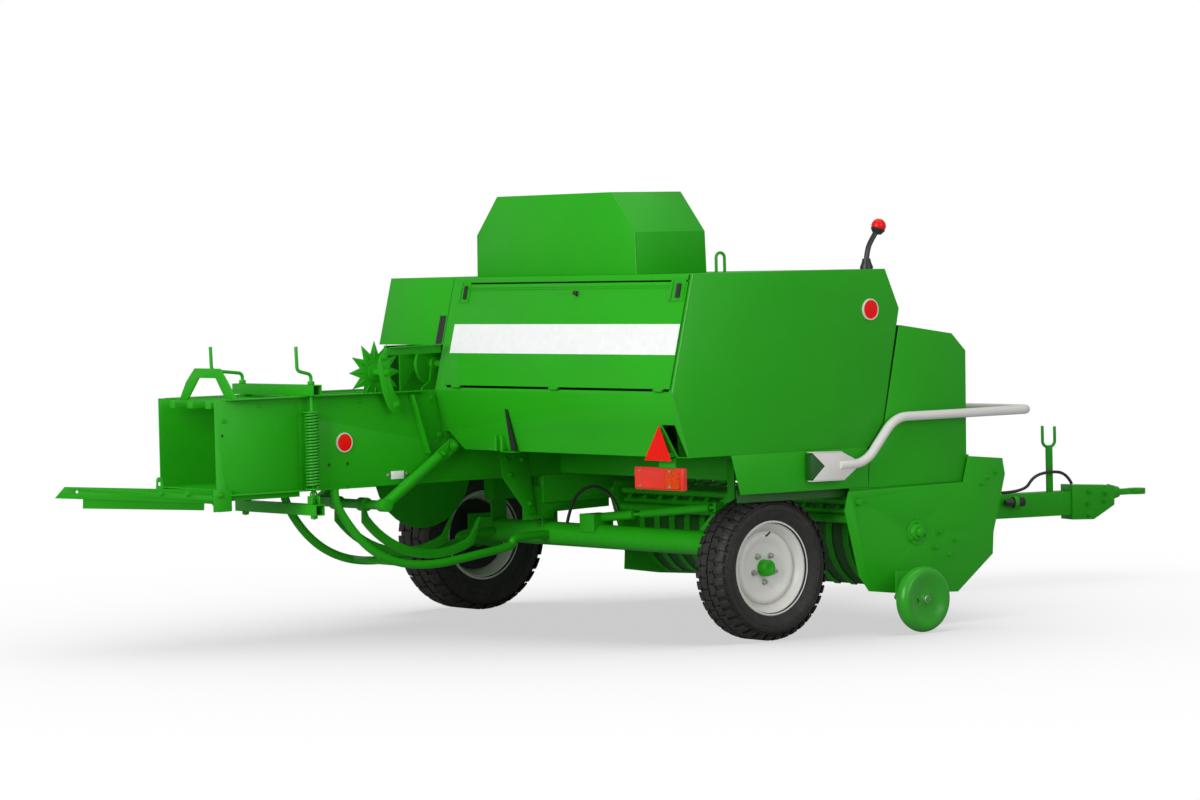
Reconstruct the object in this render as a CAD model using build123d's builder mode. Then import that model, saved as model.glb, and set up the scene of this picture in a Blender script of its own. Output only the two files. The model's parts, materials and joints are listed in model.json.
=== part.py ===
"""Square baler, pulled: chamber, pickup, needles, covers, wheels and drawbar as separate pieces.

Millimetres. X points to the machine's right, Y forward to the drawbar, Z up, floor at Z = 0.
The origin is the middle of the machine's outline on the floor.
"""
import os
from math import atan2, cos, degrees, hypot, pi, radians, sin

from build123d import *

# Wheels and axle
axle_y = -515.0             # middle of the right wheel
right_wheel_x = 1060.0
right_tyre_r = 325.0
right_tyre_w = 186.0
right_rim_r = 205.0
left_wheel_x = -1300.0
left_wheel_y = axle_y + 147.0
left_tyre_r = 370.0
left_tyre_w = 260.0
left_rim_r = 212.0
axle_tube_r = 57.0
axle_tube_y = axle_y + 85.0
axle_tube_z = 408.0
spindle_r = 24.0
hub_r = 62.0
lug_depth = 12.0            # tread blocks above the carcass

# Clearances
fit_gap = 6.0               # between moving sheets and what they close
run_gap = 0.05              # of a pin or shaft in its bore
seat_gap = 0.3              # where one piece rests on another

# Bale chamber
chamber_x = -790.0
chamber_w = 460.0           # between the walls
wall_t = 6.0
chamber_rear_y = -2355.0
chamber_front_y = 800.0
chamber_bottom_z = 690.0
chamber_top_z = 1127.0
floor_z = 722.0             # top of the chamber floor
roof_z = 1084.0             # underside of the roof rails
flange_w = 34.0             # turned edges of the side walls
right_wall_x = chamber_x + chamber_w / 2
left_wall_x = chamber_x - chamber_w / 2
inlet_y0 = -376.0           # feed opening in the right wall
inlet_y1 = 150.0
plunger_len = 400.0
plunger_face_y = 265.0      # at the front of its stroke

# Covers
cover_right_x = 1200.0
cover_left_x = right_wall_x + wall_t + seat_gap
cover_t = 3.0
cover_top_z = 1651.0
cover_rear_top_y = -989.0
cover_knee = (-1123.0, 1123.0)
cover_low_rear = (-1044.0, 845.0)
cover_low_front = (25.0, 845.0)
cover_lip = (113.0, 951.0)
cover_bulge = (224.0, 1470.0)
cover_top_front = (142.0, cover_top_z)
hood_y0 = -955.0
hood_y1 = -545.0
hood_z = 2023.0

# Feeder and pickup
feeder_front_y = 640.0
feeder_bottom_z = 658.0
reel_y = 297.0
reel_z = 441.0
tine_tip_r = 262.0
stripper_r = 190.0
reel_bar_r = 115.0          # of the circle the tined bars run on
table_wall_y = -380.0       # closes the feeder to the rear
pickup_left_x = -467.0
pickup_plate_x = cover_right_x + 7.0
pickup_plate_t = 5.0
pickup_pivot = (-60.0, 600.0)
gauge_x = 1391.0
gauge_y = 161.0
gauge_r = 150.0
gauge_w = 78.0
gauge_z = 153.0

# Needle yoke
yoke_y = axle_y - 539.0
yoke_z = 863.0
yoke_cross_r = 480.0
yoke_cross_angle = -147.0
needle_spacing = 220.0
needle_r = 520.0
needle_tip_r = 450.0
needle_tip_angle = -53.0

# Drawbar
pivot_x = -690.0
pivot_y = 735.0
bar_angle = 14.0            # swung to the right of straight ahead
bar_top_z = 455.0
bar_h = 125.0
bar_w = 100.0
eye_reach_y = 3165.0        # tip of the ring
eye_z = 435.0

# Chute
chute_hinge_y = chamber_rear_y - 14.0
chute_hinge_z = 682.0
chute_len = 838.0
chute_cut = (-321.0, -691.0)      # its slanting rear edge at the far and the near side
chute_slope = 4.0           # degrees up to the rear

os.makedirs("parts", exist_ok=True)


def save(builder, name):
    """Label the finished piece and write it."""
    builder.part.label = name
    export_step(builder.part, f"parts/{name}.step")


def side_sheet(x0, x1, points):
    """A solid between two planes of X, its outline given as (Y, Z) points."""
    with BuildSketch(Plane.YZ.offset(x0)) as outline:
        with BuildLine():
            Polyline(*points, close=True)
        make_face()
    return extrude(outline.sketch, amount=x1 - x0, mode=Mode.PRIVATE)


def block(x0, x1, y0, y1, z0, z1):
    """A plain box between six planes."""
    with BuildPart(mode=Mode.PRIVATE) as box:
        with Locations(((x0 + x1) / 2, (y0 + y1) / 2, (z0 + z1) / 2)):
            Box(x1 - x0, y1 - y0, z1 - z0)
    return box.part


def rod_x(x0, x1, y, z, r):
    """A round bar along X."""
    with BuildSketch(Plane.YZ.offset(x0)) as section:
        with Locations((y, z)):
            Circle(r)
    return extrude(section.sketch, amount=x1 - x0, mode=Mode.PRIVATE)


def tube_path(points, radii, r):
    """A round tube along straight runs joined by arcs."""
    with BuildLine() as route:
        FilletPolyline(*points, radius=radii)
    start = route.line @ 0
    along = route.line % 0
    with BuildSketch(Plane(origin=start, z_dir=along)) as section:
        Circle(r)
    return sweep(section.sketch, path=route.line, mode=Mode.PRIVATE)


def straight_bar(start, end, r):
    """A round bar between two points."""
    along = Vector(*end) - Vector(*start)
    with BuildSketch(Plane(origin=start, z_dir=along)) as section:
        Circle(r)
    return extrude(section.sketch, amount=along.length, mode=Mode.PRIVATE)


def curved_tube(points, start_way, end_way, r):
    """A round tube along a smooth curve that leaves and arrives in the given directions."""
    with BuildLine() as route:
        Spline(*points, tangents=(start_way, end_way))
    with BuildSketch(Plane(origin=route.line @ 0, z_dir=route.line % 0)) as section:
        Circle(r)
    return sweep(section.sketch, path=route.line, mode=Mode.PRIVATE)


def polar(y, z, r, angle):
    """A point at an angle from +Y about a centre in the YZ plane."""
    return (y + r * cos(radians(angle)), z + r * sin(radians(angle)))


# Wheels
def build_tyre(name, x, y, r, w, rim_r, lugs):
    """A tyre with a rounded carcass and blocks round its shoulders."""
    carcass_r = r - lug_depth
    with BuildPart() as tyre:
        with BuildSketch(Plane.XY):
            with BuildLine():
                Polyline((-w * 0.36, rim_r), (-w * 0.36, rim_r + 12), (-w * 0.5, rim_r + 40), (-w * 0.5, carcass_r - 40),
                         (-w * 0.40, carcass_r), (w * 0.40, carcass_r), (w * 0.5, carcass_r - 40), (w * 0.5, rim_r + 40),
                         (w * 0.36, rim_r + 12), (w * 0.36, rim_r), close=True)
            make_face()
        revolve(axis=Axis.X)
        lug_len = 2 * pi * r / lugs * 0.55
        lug_root = carcass_r - 22
        lug_top = (r * r - lug_len * lug_len / 4) ** 0.5      # its corners lie at the tyre's radius
        blocks = []
        for side in (-1, 1):
            for turn in range(lugs):
                frame = Plane.XY.rotated((360.0 / lugs * (turn + 0.25 * side), 0, 0))
                with BuildSketch(frame.offset(lug_root)) as foot:
                    with Locations((side * w * 0.27, 0)):
                        Rectangle(w * 0.36, lug_len)
                blocks.append(extrude(foot.sketch, amount=lug_top - lug_root, mode=Mode.PRIVATE))
        add(blocks)
    placed = tyre.part.moved(Location((x, y, r)))
    tyre.part = placed
    save(tyre, name)


def build_rim(name, x, y, z, rim_r, w, outer):
    """Drop-centre rim, dished disc, hub and bolts; outer is +1 when the disc faces +X."""
    half = w * 0.36
    with BuildPart() as rim:
        with BuildSketch(Plane.XY):
            with BuildLine():
                Polyline((-half - 10, rim_r + 10), (-half, rim_r - 1), (-half * 0.35, rim_r - 34), (half * 0.35, rim_r - 34),
                         (half, rim_r - 1), (half + 10, rim_r + 10), (half + 10, rim_r), (half, rim_r - 10),
                         (half * 0.35, rim_r - 44), (-half * 0.35, rim_r - 44), (-half, rim_r - 10),
                         (-half - 10, rim_r), close=True)
            make_face()
        revolve(axis=Axis.X)
        with BuildSketch(Plane.XY):
            with BuildLine():
                Polyline((outer * 8, 0), (outer * 8, hub_r + 20), (outer * 30, hub_r + 60), (outer * 14, rim_r - 36),
                         (outer * 6, rim_r - 36), (outer * 20, hub_r + 60), (0, hub_r + 20), (0, 0), close=True)
            make_face()
        revolve(axis=Axis.X)
        add(rod_x(min(outer * 6, outer * 62), max(outer * 6, outer * 62), 0, 0, 42))
        for turn in range(5):
            bolt = polar(0, 0, hub_r + 2, 72 * turn + 90)
            add(rod_x(min(outer * 6, outer * 24), max(outer * 6, outer * 24), bolt[0], bolt[1], 11))
        add(rod_x(min(0, -outer * 60), max(0, -outer * 60), 0, 0, hub_r))
        add(rod_x(min(0, -outer * 62), max(0, -outer * 62), 0, 0, spindle_r + run_gap), mode=Mode.SUBTRACT)
    rim.part = rim.part.moved(Location((x, y, z)))
    save(rim, name)


build_tyre("tyre_right", right_wheel_x, axle_y, right_tyre_r, right_tyre_w, right_rim_r, 30)
build_tyre("tyre_left", left_wheel_x, left_wheel_y, left_tyre_r, left_tyre_w, left_rim_r, 26)
build_rim("rim_right", right_wheel_x, axle_y, right_tyre_r, right_rim_r, right_tyre_w, 1)
build_rim("rim_left", left_wheel_x, left_wheel_y, left_tyre_r, left_rim_r, left_tyre_w, -1)

# Axle: cross tube, end plates, spindles, and what carries the lift spring and the feed table
clamp_x = (-280.0, -170.0)
lift_end_x = 654.0
lift_end_z = 577.0
flat_t = 8.0
right_plate_x = right_wheel_x - right_tyre_w / 2 - 40
left_plate_x = left_wheel_x + left_tyre_w / 2 + 30
with BuildPart() as axle:
    add(rod_x(left_plate_x - 10, right_plate_x, axle_tube_y, axle_tube_z, axle_tube_r))
    add(side_sheet(right_plate_x - 14, right_plate_x, [
        (axle_y - 60, right_tyre_r - 60), (axle_y + 20, right_tyre_r - 70), (axle_tube_y + 70, axle_tube_z - 40),
        (axle_tube_y + 70, axle_tube_z + 75), (axle_tube_y - 60, axle_tube_z + 75), (axle_y - 70, right_tyre_r + 40)]))
    add(side_sheet(left_plate_x - 14, left_plate_x, [
        (axle_tube_y - 70, axle_tube_z - 60), (left_wheel_y + 60, left_tyre_r - 70), (left_wheel_y + 80, left_tyre_r + 50),
        (axle_tube_y + 60, axle_tube_z + 75), (axle_tube_y - 70, axle_tube_z + 75)]))
    add(rod_x(right_plate_x - 4, right_wheel_x - 1, axle_y, right_tyre_r, spindle_r))
    add(rod_x(left_wheel_x + 1, left_plate_x - 4, left_wheel_y, left_tyre_r, spindle_r))
    add(block(*clamp_x, axle_tube_y - 60, axle_tube_y + 58, 430, 516))
    add(block(lift_end_x, lift_end_x + 14, axle_tube_y - 16, table_wall_y - 5, lift_end_z - 20, lift_end_z + 20))
    with BuildSketch(Plane.XZ.offset(-(table_wall_y - 4 - seat_gap - flat_t))) as flat:
        with BuildLine():
            Polyline((456, 440), (560, 440), (596, 480), (668, 552), (740, 600), (740, 790), (690, 790), (690, 640),
                     (626, 580), close=True)
        make_face()
    extrude(flat.sketch, amount=-flat_t)
save(axle, "axle")

# Spring that carries the pickup, with its cylinder, along the axle tube
lift_cylinder_r = 22.0
lift_spring_r = 20.0
lift_rod_r = 9.0
lift_start_z = 500.0


def lift_point(x):
    """A point on the spring's slanting middle line."""
    share = (x - clamp_x[1]) / (lift_end_x - clamp_x[1])
    return (x, axle_tube_y, lift_start_z + (lift_end_z - lift_start_z) * share)


with BuildPart() as lift_spring:
    add(straight_bar(lift_point(clamp_x[1] + seat_gap + 2.1), lift_point(61), lift_cylinder_r))
    add(straight_bar(lift_point(0), lift_point(lift_end_x - seat_gap - 0.9), lift_rod_r))
    add(straight_bar(lift_point(119), lift_point(lift_end_x - 40), lift_spring_r))
save(lift_spring, "lift_spring")

hose_r = 8.0
frame_hose_points = [(-431, -445, 465.1), (-402, -445, 545), (-335, -445, 618), (-216, -445, 652), (-122, -440, 622),
                     (-72, -433, 572), (-60, -430, 533.5)]
with BuildPart() as frame_hose:
    add(curved_tube(frame_hose_points, (0, 0, 1), (0, 0, -1), hose_r))
save(frame_hose, "frame_hose")

# Main frame under the chamber and feeder
rail_w = 70.0
rail_x = (left_wall_x - wall_t + rail_w / 2, right_wall_x + wall_t - rail_w / 2)
pivot_plate_t = 18.0
hanger_x = 1140.0           # carries the outer end of the pickup's pivot shaft
with BuildPart() as main_frame:
    for x in rail_x:
        add(block(x - rail_w / 2, x + rail_w / 2, axle_tube_y - 60, pivot_y - 60, 560, chamber_bottom_z))
    for x in rail_x:
        add(block(x - 8, x + 8, axle_tube_y - 45, axle_tube_y + 45, axle_tube_z + 30, 566))
    add(rod_x(rail_x[0] - rail_w, rail_x[1] + rail_w, axle_tube_y, axle_tube_z, axle_tube_r + seat_gap), mode=Mode.SUBTRACT)
    for z in (bar_top_z + 5, bar_top_z - bar_h - 5 - pivot_plate_t):
        add(block(pivot_x - 90, pivot_x + 90, pivot_y - 160, pivot_y + 80, z, z + pivot_plate_t))
    add(block(rail_x[0] - rail_w / 2, rail_x[1] + rail_w / 2, pivot_y - 160, pivot_y - 60, 545, chamber_bottom_z))
    add(block(pivot_x - 90, pivot_x + 90, pivot_y - 160, pivot_y - 130, bar_top_z - bar_h - 20, 560))
    with Locations((pivot_x, pivot_y, bar_top_z - bar_h / 2)):
        Cylinder(24 + run_gap, 260, mode=Mode.SUBTRACT)
    add(rod_x(rail_x[1], pickup_plate_x + pickup_plate_t + 14, pickup_pivot[0], pickup_pivot[1], 16 - run_gap))
    add(block(hanger_x, hanger_x + 10, pickup_pivot[0] - 15, pickup_pivot[0] + 15, pickup_pivot[1] - 14, floor_z - 24))
save(main_frame, "main_frame")


edge_y0 = chamber_rear_y + 62     # turned edges start clear of the folded chute
ear_t = 6.0


def wall(name, x0, x1, out):
    """One side wall of the chamber with its turned edges and the ear that carries the chute."""
    edge_x0 = x0 if out > 0 else x0 - flange_w
    edge_x1 = x1 + flange_w if out > 0 else x1
    ear_x = x1 if out > 0 else x0 - ear_t
    with BuildPart() as sheet:
        add(side_sheet(x0, x1, [(chamber_rear_y, chamber_bottom_z), (chamber_front_y, chamber_bottom_z),
                                (chamber_front_y, chamber_top_z), (chamber_rear_y, chamber_top_z)]))
        add(block(edge_x0, edge_x1, edge_y0, -1200, chamber_top_z - wall_t, chamber_top_z))
        add(block(edge_x0, edge_x1, edge_y0, -1500, chamber_bottom_z, chamber_bottom_z + wall_t))
        add(side_sheet(ear_x, ear_x + ear_t, [
            (chute_hinge_y - 18, chute_hinge_z - 20), (chute_hinge_y + 16, chute_hinge_z - 62),
            (chute_hinge_y + 81, chute_hinge_z - 62), (chute_hinge_y + 81, chute_hinge_z + 38),
            (chute_hinge_y + 10, chute_hinge_z + 38), (chute_hinge_y - 18, chute_hinge_z + 18)]))
        add(rod_x(ear_x - 1, ear_x + ear_t + 1, chute_hinge_y, chute_hinge_z, 10 + run_gap), mode=Mode.SUBTRACT)
        if out > 0:
            add(block(x0 - 1, x1 + 1, inlet_y0, inlet_y1, floor_z, roof_z), mode=Mode.SUBTRACT)
    save(sheet, name)


wall("chamber_right_wall", right_wall_x, right_wall_x + wall_t, 1)
wall("chamber_left_wall", left_wall_x - wall_t, left_wall_x, -1)

floor_slot = (yoke_y + 405, yoke_y + 548)      # the needles cross the floor here
roof_slot = (yoke_y + 300, yoke_y + 520)       # and the roof and the knotters' deck here
needle_x = (chamber_x - needle_spacing / 2, chamber_x + needle_spacing / 2)
with BuildPart() as chamber_floor:
    add(block(left_wall_x, right_wall_x, chamber_rear_y, chamber_front_y, floor_z - 6, floor_z))
    for x in needle_x:
        add(block(x - 22, x + 22, *floor_slot, floor_z - 7, floor_z + 1), mode=Mode.SUBTRACT)
save(chamber_floor, "chamber_floor")

roof_rail_h = 34.0
with BuildPart() as chamber_roof:
    for x in (chamber_x - 150, chamber_x, chamber_x + 150):
        add(block(x - 22, x + 22, chamber_rear_y + 20, -1150, roof_z, roof_z + roof_rail_h))
    add(block(left_wall_x, right_wall_x, -1150, chamber_front_y, roof_z, roof_z + 6))
    for x in needle_x:
        add(block(x - 24, x + 24, *roof_slot, roof_z - 1, roof_z + 8), mode=Mode.SUBTRACT)
save(chamber_roof, "chamber_roof")

with BuildPart() as plunger:
    add(block(left_wall_x + 5, right_wall_x - 5, plunger_face_y, plunger_face_y + plunger_len,
              floor_z + seat_gap, roof_z - 5))
    add(block(left_wall_x + 25, right_wall_x - 25, plunger_face_y + 12, plunger_face_y + plunger_len + 1,
              floor_z + 25, roof_z - 25), mode=Mode.SUBTRACT)
save(plunger, "plunger")

# Density control at the rear: cross tubes, cranks and springs
tube_y = -1858.0
upper_tube_z = chamber_top_z + 25 + seat_gap
lower_tube_z = 604.0
tube_x0 = left_wall_x - wall_t - 96
tube_x1 = right_wall_x + wall_t + 96
spring_z0 = 703.0
spring_z1 = 1049.0
spring_r = 37.0
crank_r = 8.0
crank_out = 46.0            # from the walls' outer faces
crank_x = (left_wall_x - wall_t - crank_out, right_wall_x + wall_t + crank_out)
crank_reach = (170.0, 75.0)      # of each handle to the rear
with BuildPart() as tension_tubes:
    for z in (upper_tube_z, lower_tube_z):
        add(block(tube_x0, tube_x1, tube_y - 25, tube_y + 25, z - 25, z + 25))
        add(block(tube_x0 - 1, tube_x1 + 1, tube_y - 20, tube_y + 20, z - 20, z + 20), mode=Mode.SUBTRACT)
        for x in crank_x:
            with Locations((x, tube_y, z)):
                Cylinder(crank_r + 1, 60, mode=Mode.SUBTRACT)
save(tension_tubes, "tension_tubes")

with BuildPart() as tension_cranks:
    for x, reach in zip(crank_x, crank_reach):
        add(tube_path([(x, tube_y, lower_tube_z - 44), (x, tube_y, 1225), (x, tube_y - reach, 1243),
                       (x, tube_y - reach - 4, 1354)], (22, 22), crank_r))
        for z in (upper_tube_z + 33 + seat_gap, lower_tube_z - 33 - seat_gap):
            with Locations((x, tube_y, z)):
                Cylinder(16, 16)
        for z in (spring_z0 - seat_gap - 3, spring_z1 + seat_gap + 3):
            with Locations((x, tube_y, z)):
                Cylinder(spring_r + 3, 6)
save(tension_cranks, "tension_cranks")

with BuildPart() as tension_springs:
    for x in crank_x:
        with Locations((x, tube_y, (spring_z0 + spring_z1) / 2)):
            Cylinder(spring_r, spring_z1 - spring_z0)
            Cylinder(spring_r - 12, 600, mode=Mode.SUBTRACT)
save(tension_springs, "tension_springs")

# Plate arch over the rear of the chamber, from the left roof rail to the right wall
bow_y = chamber_rear_y + 93
bow_t = 8.0
bow_foot = (roof_z + roof_rail_h + seat_gap, chamber_top_z + seat_gap)
bow_rise = (74.0, 93.0, 137.0)   # of its outer knees, its inside and its top
with BuildPart() as bale_bow:
    with BuildSketch(Plane.XZ.offset(-bow_y)) as arch:
        with BuildLine():
            Polyline((left_wall_x + 30, bow_foot[0]), (left_wall_x + 88, chamber_top_z + bow_rise[0]),
                     (left_wall_x + 162, chamber_top_z + bow_rise[2]), (right_wall_x - 88, chamber_top_z + bow_rise[2]),
                     (right_wall_x - 27, chamber_top_z + bow_rise[0]), (right_wall_x + 36, bow_foot[1]),
                     (right_wall_x - 49, bow_foot[1]), (right_wall_x - 125, chamber_top_z + bow_rise[1]),
                     (left_wall_x + 195, chamber_top_z + bow_rise[1]), (left_wall_x + 97, bow_foot[0]), close=True)
        make_face()
        fillet([corner for corner in arch.vertices() if corner.Y > chamber_top_z + 30], 12)
    extrude(arch.sketch, amount=-bow_t)
save(bale_bow, "bale_bow")

# Chute that lets the bales down; it folds up about its front edge
chute_x0 = left_wall_x + 4
chute_x1 = right_wall_x - 4
chute_side_x = right_wall_x + wall_t + ear_t + 5
chute_bar_h = 53.0
with BuildPart() as chute:
    with BuildSketch(Plane.XY) as chute_floor:
        with BuildLine():
            Polyline((chute_x0, -12), (chute_x1, -12), (chute_x1, -50), (chute_side_x + 1, -50),
                     (chute_side_x + 1, chute_cut[1]), (chute_x0, chute_cut[0]), close=True)
        make_face()
    extrude(chute_floor.sketch, amount=4)
    add(side_sheet(chute_side_x, chute_side_x + 4, [
        (-chute_len, -10), (-60, -22), (-12, -24), (12, -16), (16, 0), (12, 16), (-4, 40), (-chute_len + 47, 41)]))
    add(block(chute_side_x - 6, chute_side_x + 1, chute_cut[1], -60, -chute_bar_h, 2))
    add(block(chute_x0 + 20, chute_x0 + 26, chute_cut[0] - 9, -12, -chute_bar_h, 2))
    add(side_sheet(chute_side_x - 5, chute_side_x + 1, [(-316, 5), (-282, 5), (-282, 82), (-290, 92), (-308, 92), (-316, 82)]))
    for y, z, r in ((-728, 20, 7), (-299, 62, 9)):
        add(rod_x(chute_side_x - 6, chute_side_x + 5, y, z, r), mode=Mode.SUBTRACT)
    add(rod_x(left_wall_x - wall_t - ear_t - 4, chute_side_x + 8, 0, 0, 10))
    for x0 in (chute_x0 + 40, chute_x1 - 80):
        add(block(x0, x0 + 40, -20, 0, -4, 4))
chute.part = chute.part.moved(Location((0, chute_hinge_y, chute_hinge_z), (-chute_slope, 0, 0)))
save(chute, "chute")

# Needle yoke and its two needles
cross_y, cross_z = polar(yoke_y, yoke_z, yoke_cross_r, yoke_cross_angle)
arm_out = 10.0              # between the wall and the arm's tube
arm_r = 27.0
arm_t = 12.0                # of its flattened end
arm_x = (left_wall_x - wall_t - arm_out - arm_r, right_wall_x + wall_t + arm_out + arm_r)
yoke_pin_r = 15.0
with BuildPart() as needle_yoke:
    for x in arm_x:
        add(straight_bar((x, *polar(yoke_y, yoke_z, 95, yoke_cross_angle)), (x, cross_y, cross_z), arm_r))
        add(side_sheet(x - arm_t / 2, x + arm_t / 2, [
            polar(yoke_y, yoke_z, 32, yoke_cross_angle + 90), polar(yoke_y, yoke_z, 130, yoke_cross_angle + 13),
            polar(yoke_y, yoke_z, 130, yoke_cross_angle - 13), polar(yoke_y, yoke_z, 32, yoke_cross_angle - 90)]))
        add(rod_x(x - arm_t / 2, x + arm_t / 2, yoke_y, yoke_z, 32))
        add(rod_x(x - arm_r, x + arm_r, cross_y, cross_z, 30))
        add(rod_x(x - arm_t, x + arm_t, yoke_y, yoke_z, yoke_pin_r + run_gap), mode=Mode.SUBTRACT)
    add(rod_x(arm_x[0], arm_x[1], cross_y, cross_z, 22))
    for x in needle_x:
        outer = [polar(yoke_y, yoke_z, needle_r + 20, a) for a in range(-140, -64, 5)]
        inner = [polar(yoke_y, yoke_z, needle_r - 22, a) for a in range(-140, -64, 5)]
        tip = polar(yoke_y, yoke_z, needle_tip_r, needle_tip_angle)
        heel = polar(yoke_y, yoke_z, yoke_cross_r, yoke_cross_angle - 2)
        add(side_sheet(x - 9, x + 9, [heel] + outer + [tip] + inner[::-1]))
        add(rod_x(x - 26, x + 26, cross_y, cross_z, 32))
save(needle_yoke, "needle_yoke")

boss_gap = 1.0              # between the pivot's boss and the arm's flat end
with BuildPart() as yoke_pivots:
    for x, face_x, out in ((arm_x[0], left_wall_x - wall_t, -1), (arm_x[1], right_wall_x + wall_t, 1)):
        wall_end = face_x + out * seat_gap
        for end, r in ((x + out * (arm_t / 2 + 12), yoke_pin_r), (x - out * (arm_t / 2 + boss_gap), 24)):
            add(rod_x(min(wall_end, end), max(wall_end, end), yoke_y, yoke_z, r))
save(yoke_pivots, "yoke_pivots")

# Tubes that guard the needles from below
guard_r = 20.0
guard_x = (chamber_x - 170, right_wall_x + wall_t + flange_w / 2)
guard_tops = (floor_z - 6, chamber_bottom_z)
guard_run = [(-1671, 555), (-1525, 403), (-1335, 323), (-1172, 309), (-894, 338), (-700, 372)]
with BuildPart() as needle_guard:
    for x, top in zip(guard_x, guard_tops):
        add(curved_tube([(x, -1722, top - seat_gap)] + [(x, y, z) for y, z in guard_run]
                        + [(x, axle_tube_y - axle_tube_r - seat_gap, axle_tube_z)], (0, 0, -1), (0, 1, 0), guard_r))
    add(rod_x(guard_x[0], guard_x[1], *guard_run[2], 14))
save(needle_guard, "needle_guard")

# Post and hanger bolted to the outside of the right wall
bracket_x = right_wall_x + wall_t + seat_gap
bracket_t = 4.0
with BuildPart() as wall_brackets:
    add(side_sheet(bracket_x, bracket_x + bracket_t, [(-1279, 1110), (-1127, 1106), (-1081, 900), (-1189, 830)]))
    add(side_sheet(bracket_x, bracket_x + 42, [(-1279, 1110), (-1274, 1110), (-1184, 833), (-1189, 830)]))
    add(side_sheet(bracket_x, bracket_x + bracket_t, [
        (-755, 811), (-735, 690), (-592, 510), (-541, 510), (-561, 628), (-580, 797)]))
save(wall_brackets, "wall_brackets")

# Curved shield plate between the chamber and the left wheel
shield_y = -805.0
shield_z = 725.0
shield_r = 290.0
shield_out = arm_x[0] - arm_r - 9   # inner face, outside the swinging yoke arm
with BuildPart() as side_shield:
    arc = [polar(shield_y, shield_z, shield_r, a) for a in range(-175, -4, 10)]
    add(side_sheet(shield_out - 4, shield_out, arc))
    add(block(shield_out - 2, left_wall_x - wall_t - seat_gap, shield_y + 260, shield_y + 285, 691, 699))
save(side_shield, "side_shield")

# Star wheel that measures the bale, its arm and the angle bar that steadies it
star_y = axle_y - 915
star_z = 1218.0
star_r = 148.0
star_root_r = 88.0
star_x = right_wall_x - 48
star_teeth = 12
star_axle_r = 10.0
with BuildPart() as star_wheel:
    points = []
    for tooth in range(star_teeth):
        angle = 360.0 / star_teeth * tooth
        points += [polar(star_y, star_z, star_root_r, angle - 7), polar(star_y, star_z, star_r, angle),
                   polar(star_y, star_z, star_root_r, angle + 7)]
    add(side_sheet(star_x, star_x + 6, points))
    add(rod_x(star_x - 12, right_wall_x + wall_t + flange_w + 16, star_y, star_z, star_axle_r))
save(star_wheel, "star_wheel")

star_arm_x = right_wall_x + wall_t + flange_w + 3
with BuildPart() as star_arm:
    add(side_sheet(star_arm_x, star_arm_x + 6, [
        (-1478, 1248), (-1464, 1183), (-1450, 1117), (-1420, 1051), (-1393, 1027), (-1359, 1042), (-1355, 1081),
        (-1390, 1134), (-1408, 1180), (-1406, 1233), (-1428, 1324), (-1469, 1287)]))
    add(rod_x(star_arm_x - 1, star_arm_x + 7, star_y, star_z, star_axle_r + run_gap), mode=Mode.SUBTRACT)
    add(rod_x(right_wall_x + wall_t + seat_gap, star_arm_x + 6, -1376, 1066, 15))
    add(side_sheet(star_arm_x, star_arm_x + 4, [(-1450, 1296), (-1435, 1330), (-1112, 1340), (-1112, 1300)]))
    add(side_sheet(star_arm_x, star_arm_x + 30, [(-1410, 1331), (-1410, 1335), (-1112, 1342), (-1112, 1338)]))
save(star_arm, "star_arm")


# Covers
def cover_line(z):
    """Y of the sloping rear face at a height."""
    top = (cover_rear_top_y, cover_top_z)
    share = (cover_top_z - z) / (cover_top_z - cover_knee[1])
    return top[0] + (cover_knee[0] - top[0]) * share


cover_outline = [(cover_rear_top_y, cover_top_z), cover_knee, cover_low_rear, cover_low_front, cover_lip, cover_bulge,
                 cover_top_front]
cover_inside = [(cover_rear_top_y + 4, cover_top_z - cover_t), (cover_knee[0] + 4, cover_knee[1]),
                (cover_low_rear[0] + 4, cover_low_rear[1] + cover_t), (cover_low_front[0] - 2, cover_low_front[1] + cover_t),
                (cover_lip[0] - 4, cover_lip[1] + 1), (cover_bulge[0] - 4, cover_bulge[1] - 1),
                (cover_top_front[0] - 2, cover_top_front[1] - cover_t)]
door_z0 = 1150.0
door_z1 = 1625.0
door_x0 = cover_left_x + 74          # clear of the star wheel's axle
door_x1 = cover_right_x - 28
with BuildPart() as main_cover:
    add(side_sheet(cover_left_x, cover_right_x, cover_outline))
    add(side_sheet(cover_left_x + cover_t, cover_right_x - cover_t, cover_inside), mode=Mode.SUBTRACT)
    opening = [(cover_line(door_z0) - 30, door_z0 - 12), (cover_line(door_z0) + 60, door_z0 - 12),
               (cover_line(door_z1) + 60, door_z1 + 4), (cover_line(door_z1) - 30, door_z1 + 4)]
    add(side_sheet(door_x0 + 12, door_x1 - 12, opening), mode=Mode.SUBTRACT)
    with BuildSketch(Plane.XZ) as corner:
        with BuildLine():
            Polyline((cover_left_x - 10, 800), (cover_left_x - 10, 930), (cover_left_x + 32, 930), (-430, 842), (-430, 800),
                     close=True)
        make_face()
    extrude(corner.sketch, amount=1200, mode=Mode.SUBTRACT)
    with BuildSketch(Plane.XZ.offset(-cover_low_rear[0] - 8)) as notch:
        with BuildLine():
            Polyline((1068, 990), (1155, 990), (1192, cover_low_rear[1] + cover_t + 1), (1125, cover_low_rear[1] + cover_t + 1),
                     close=True)
        make_face()
    extrude(notch.sketch, amount=90, mode=Mode.SUBTRACT)
save(main_cover, "main_cover")

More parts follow.
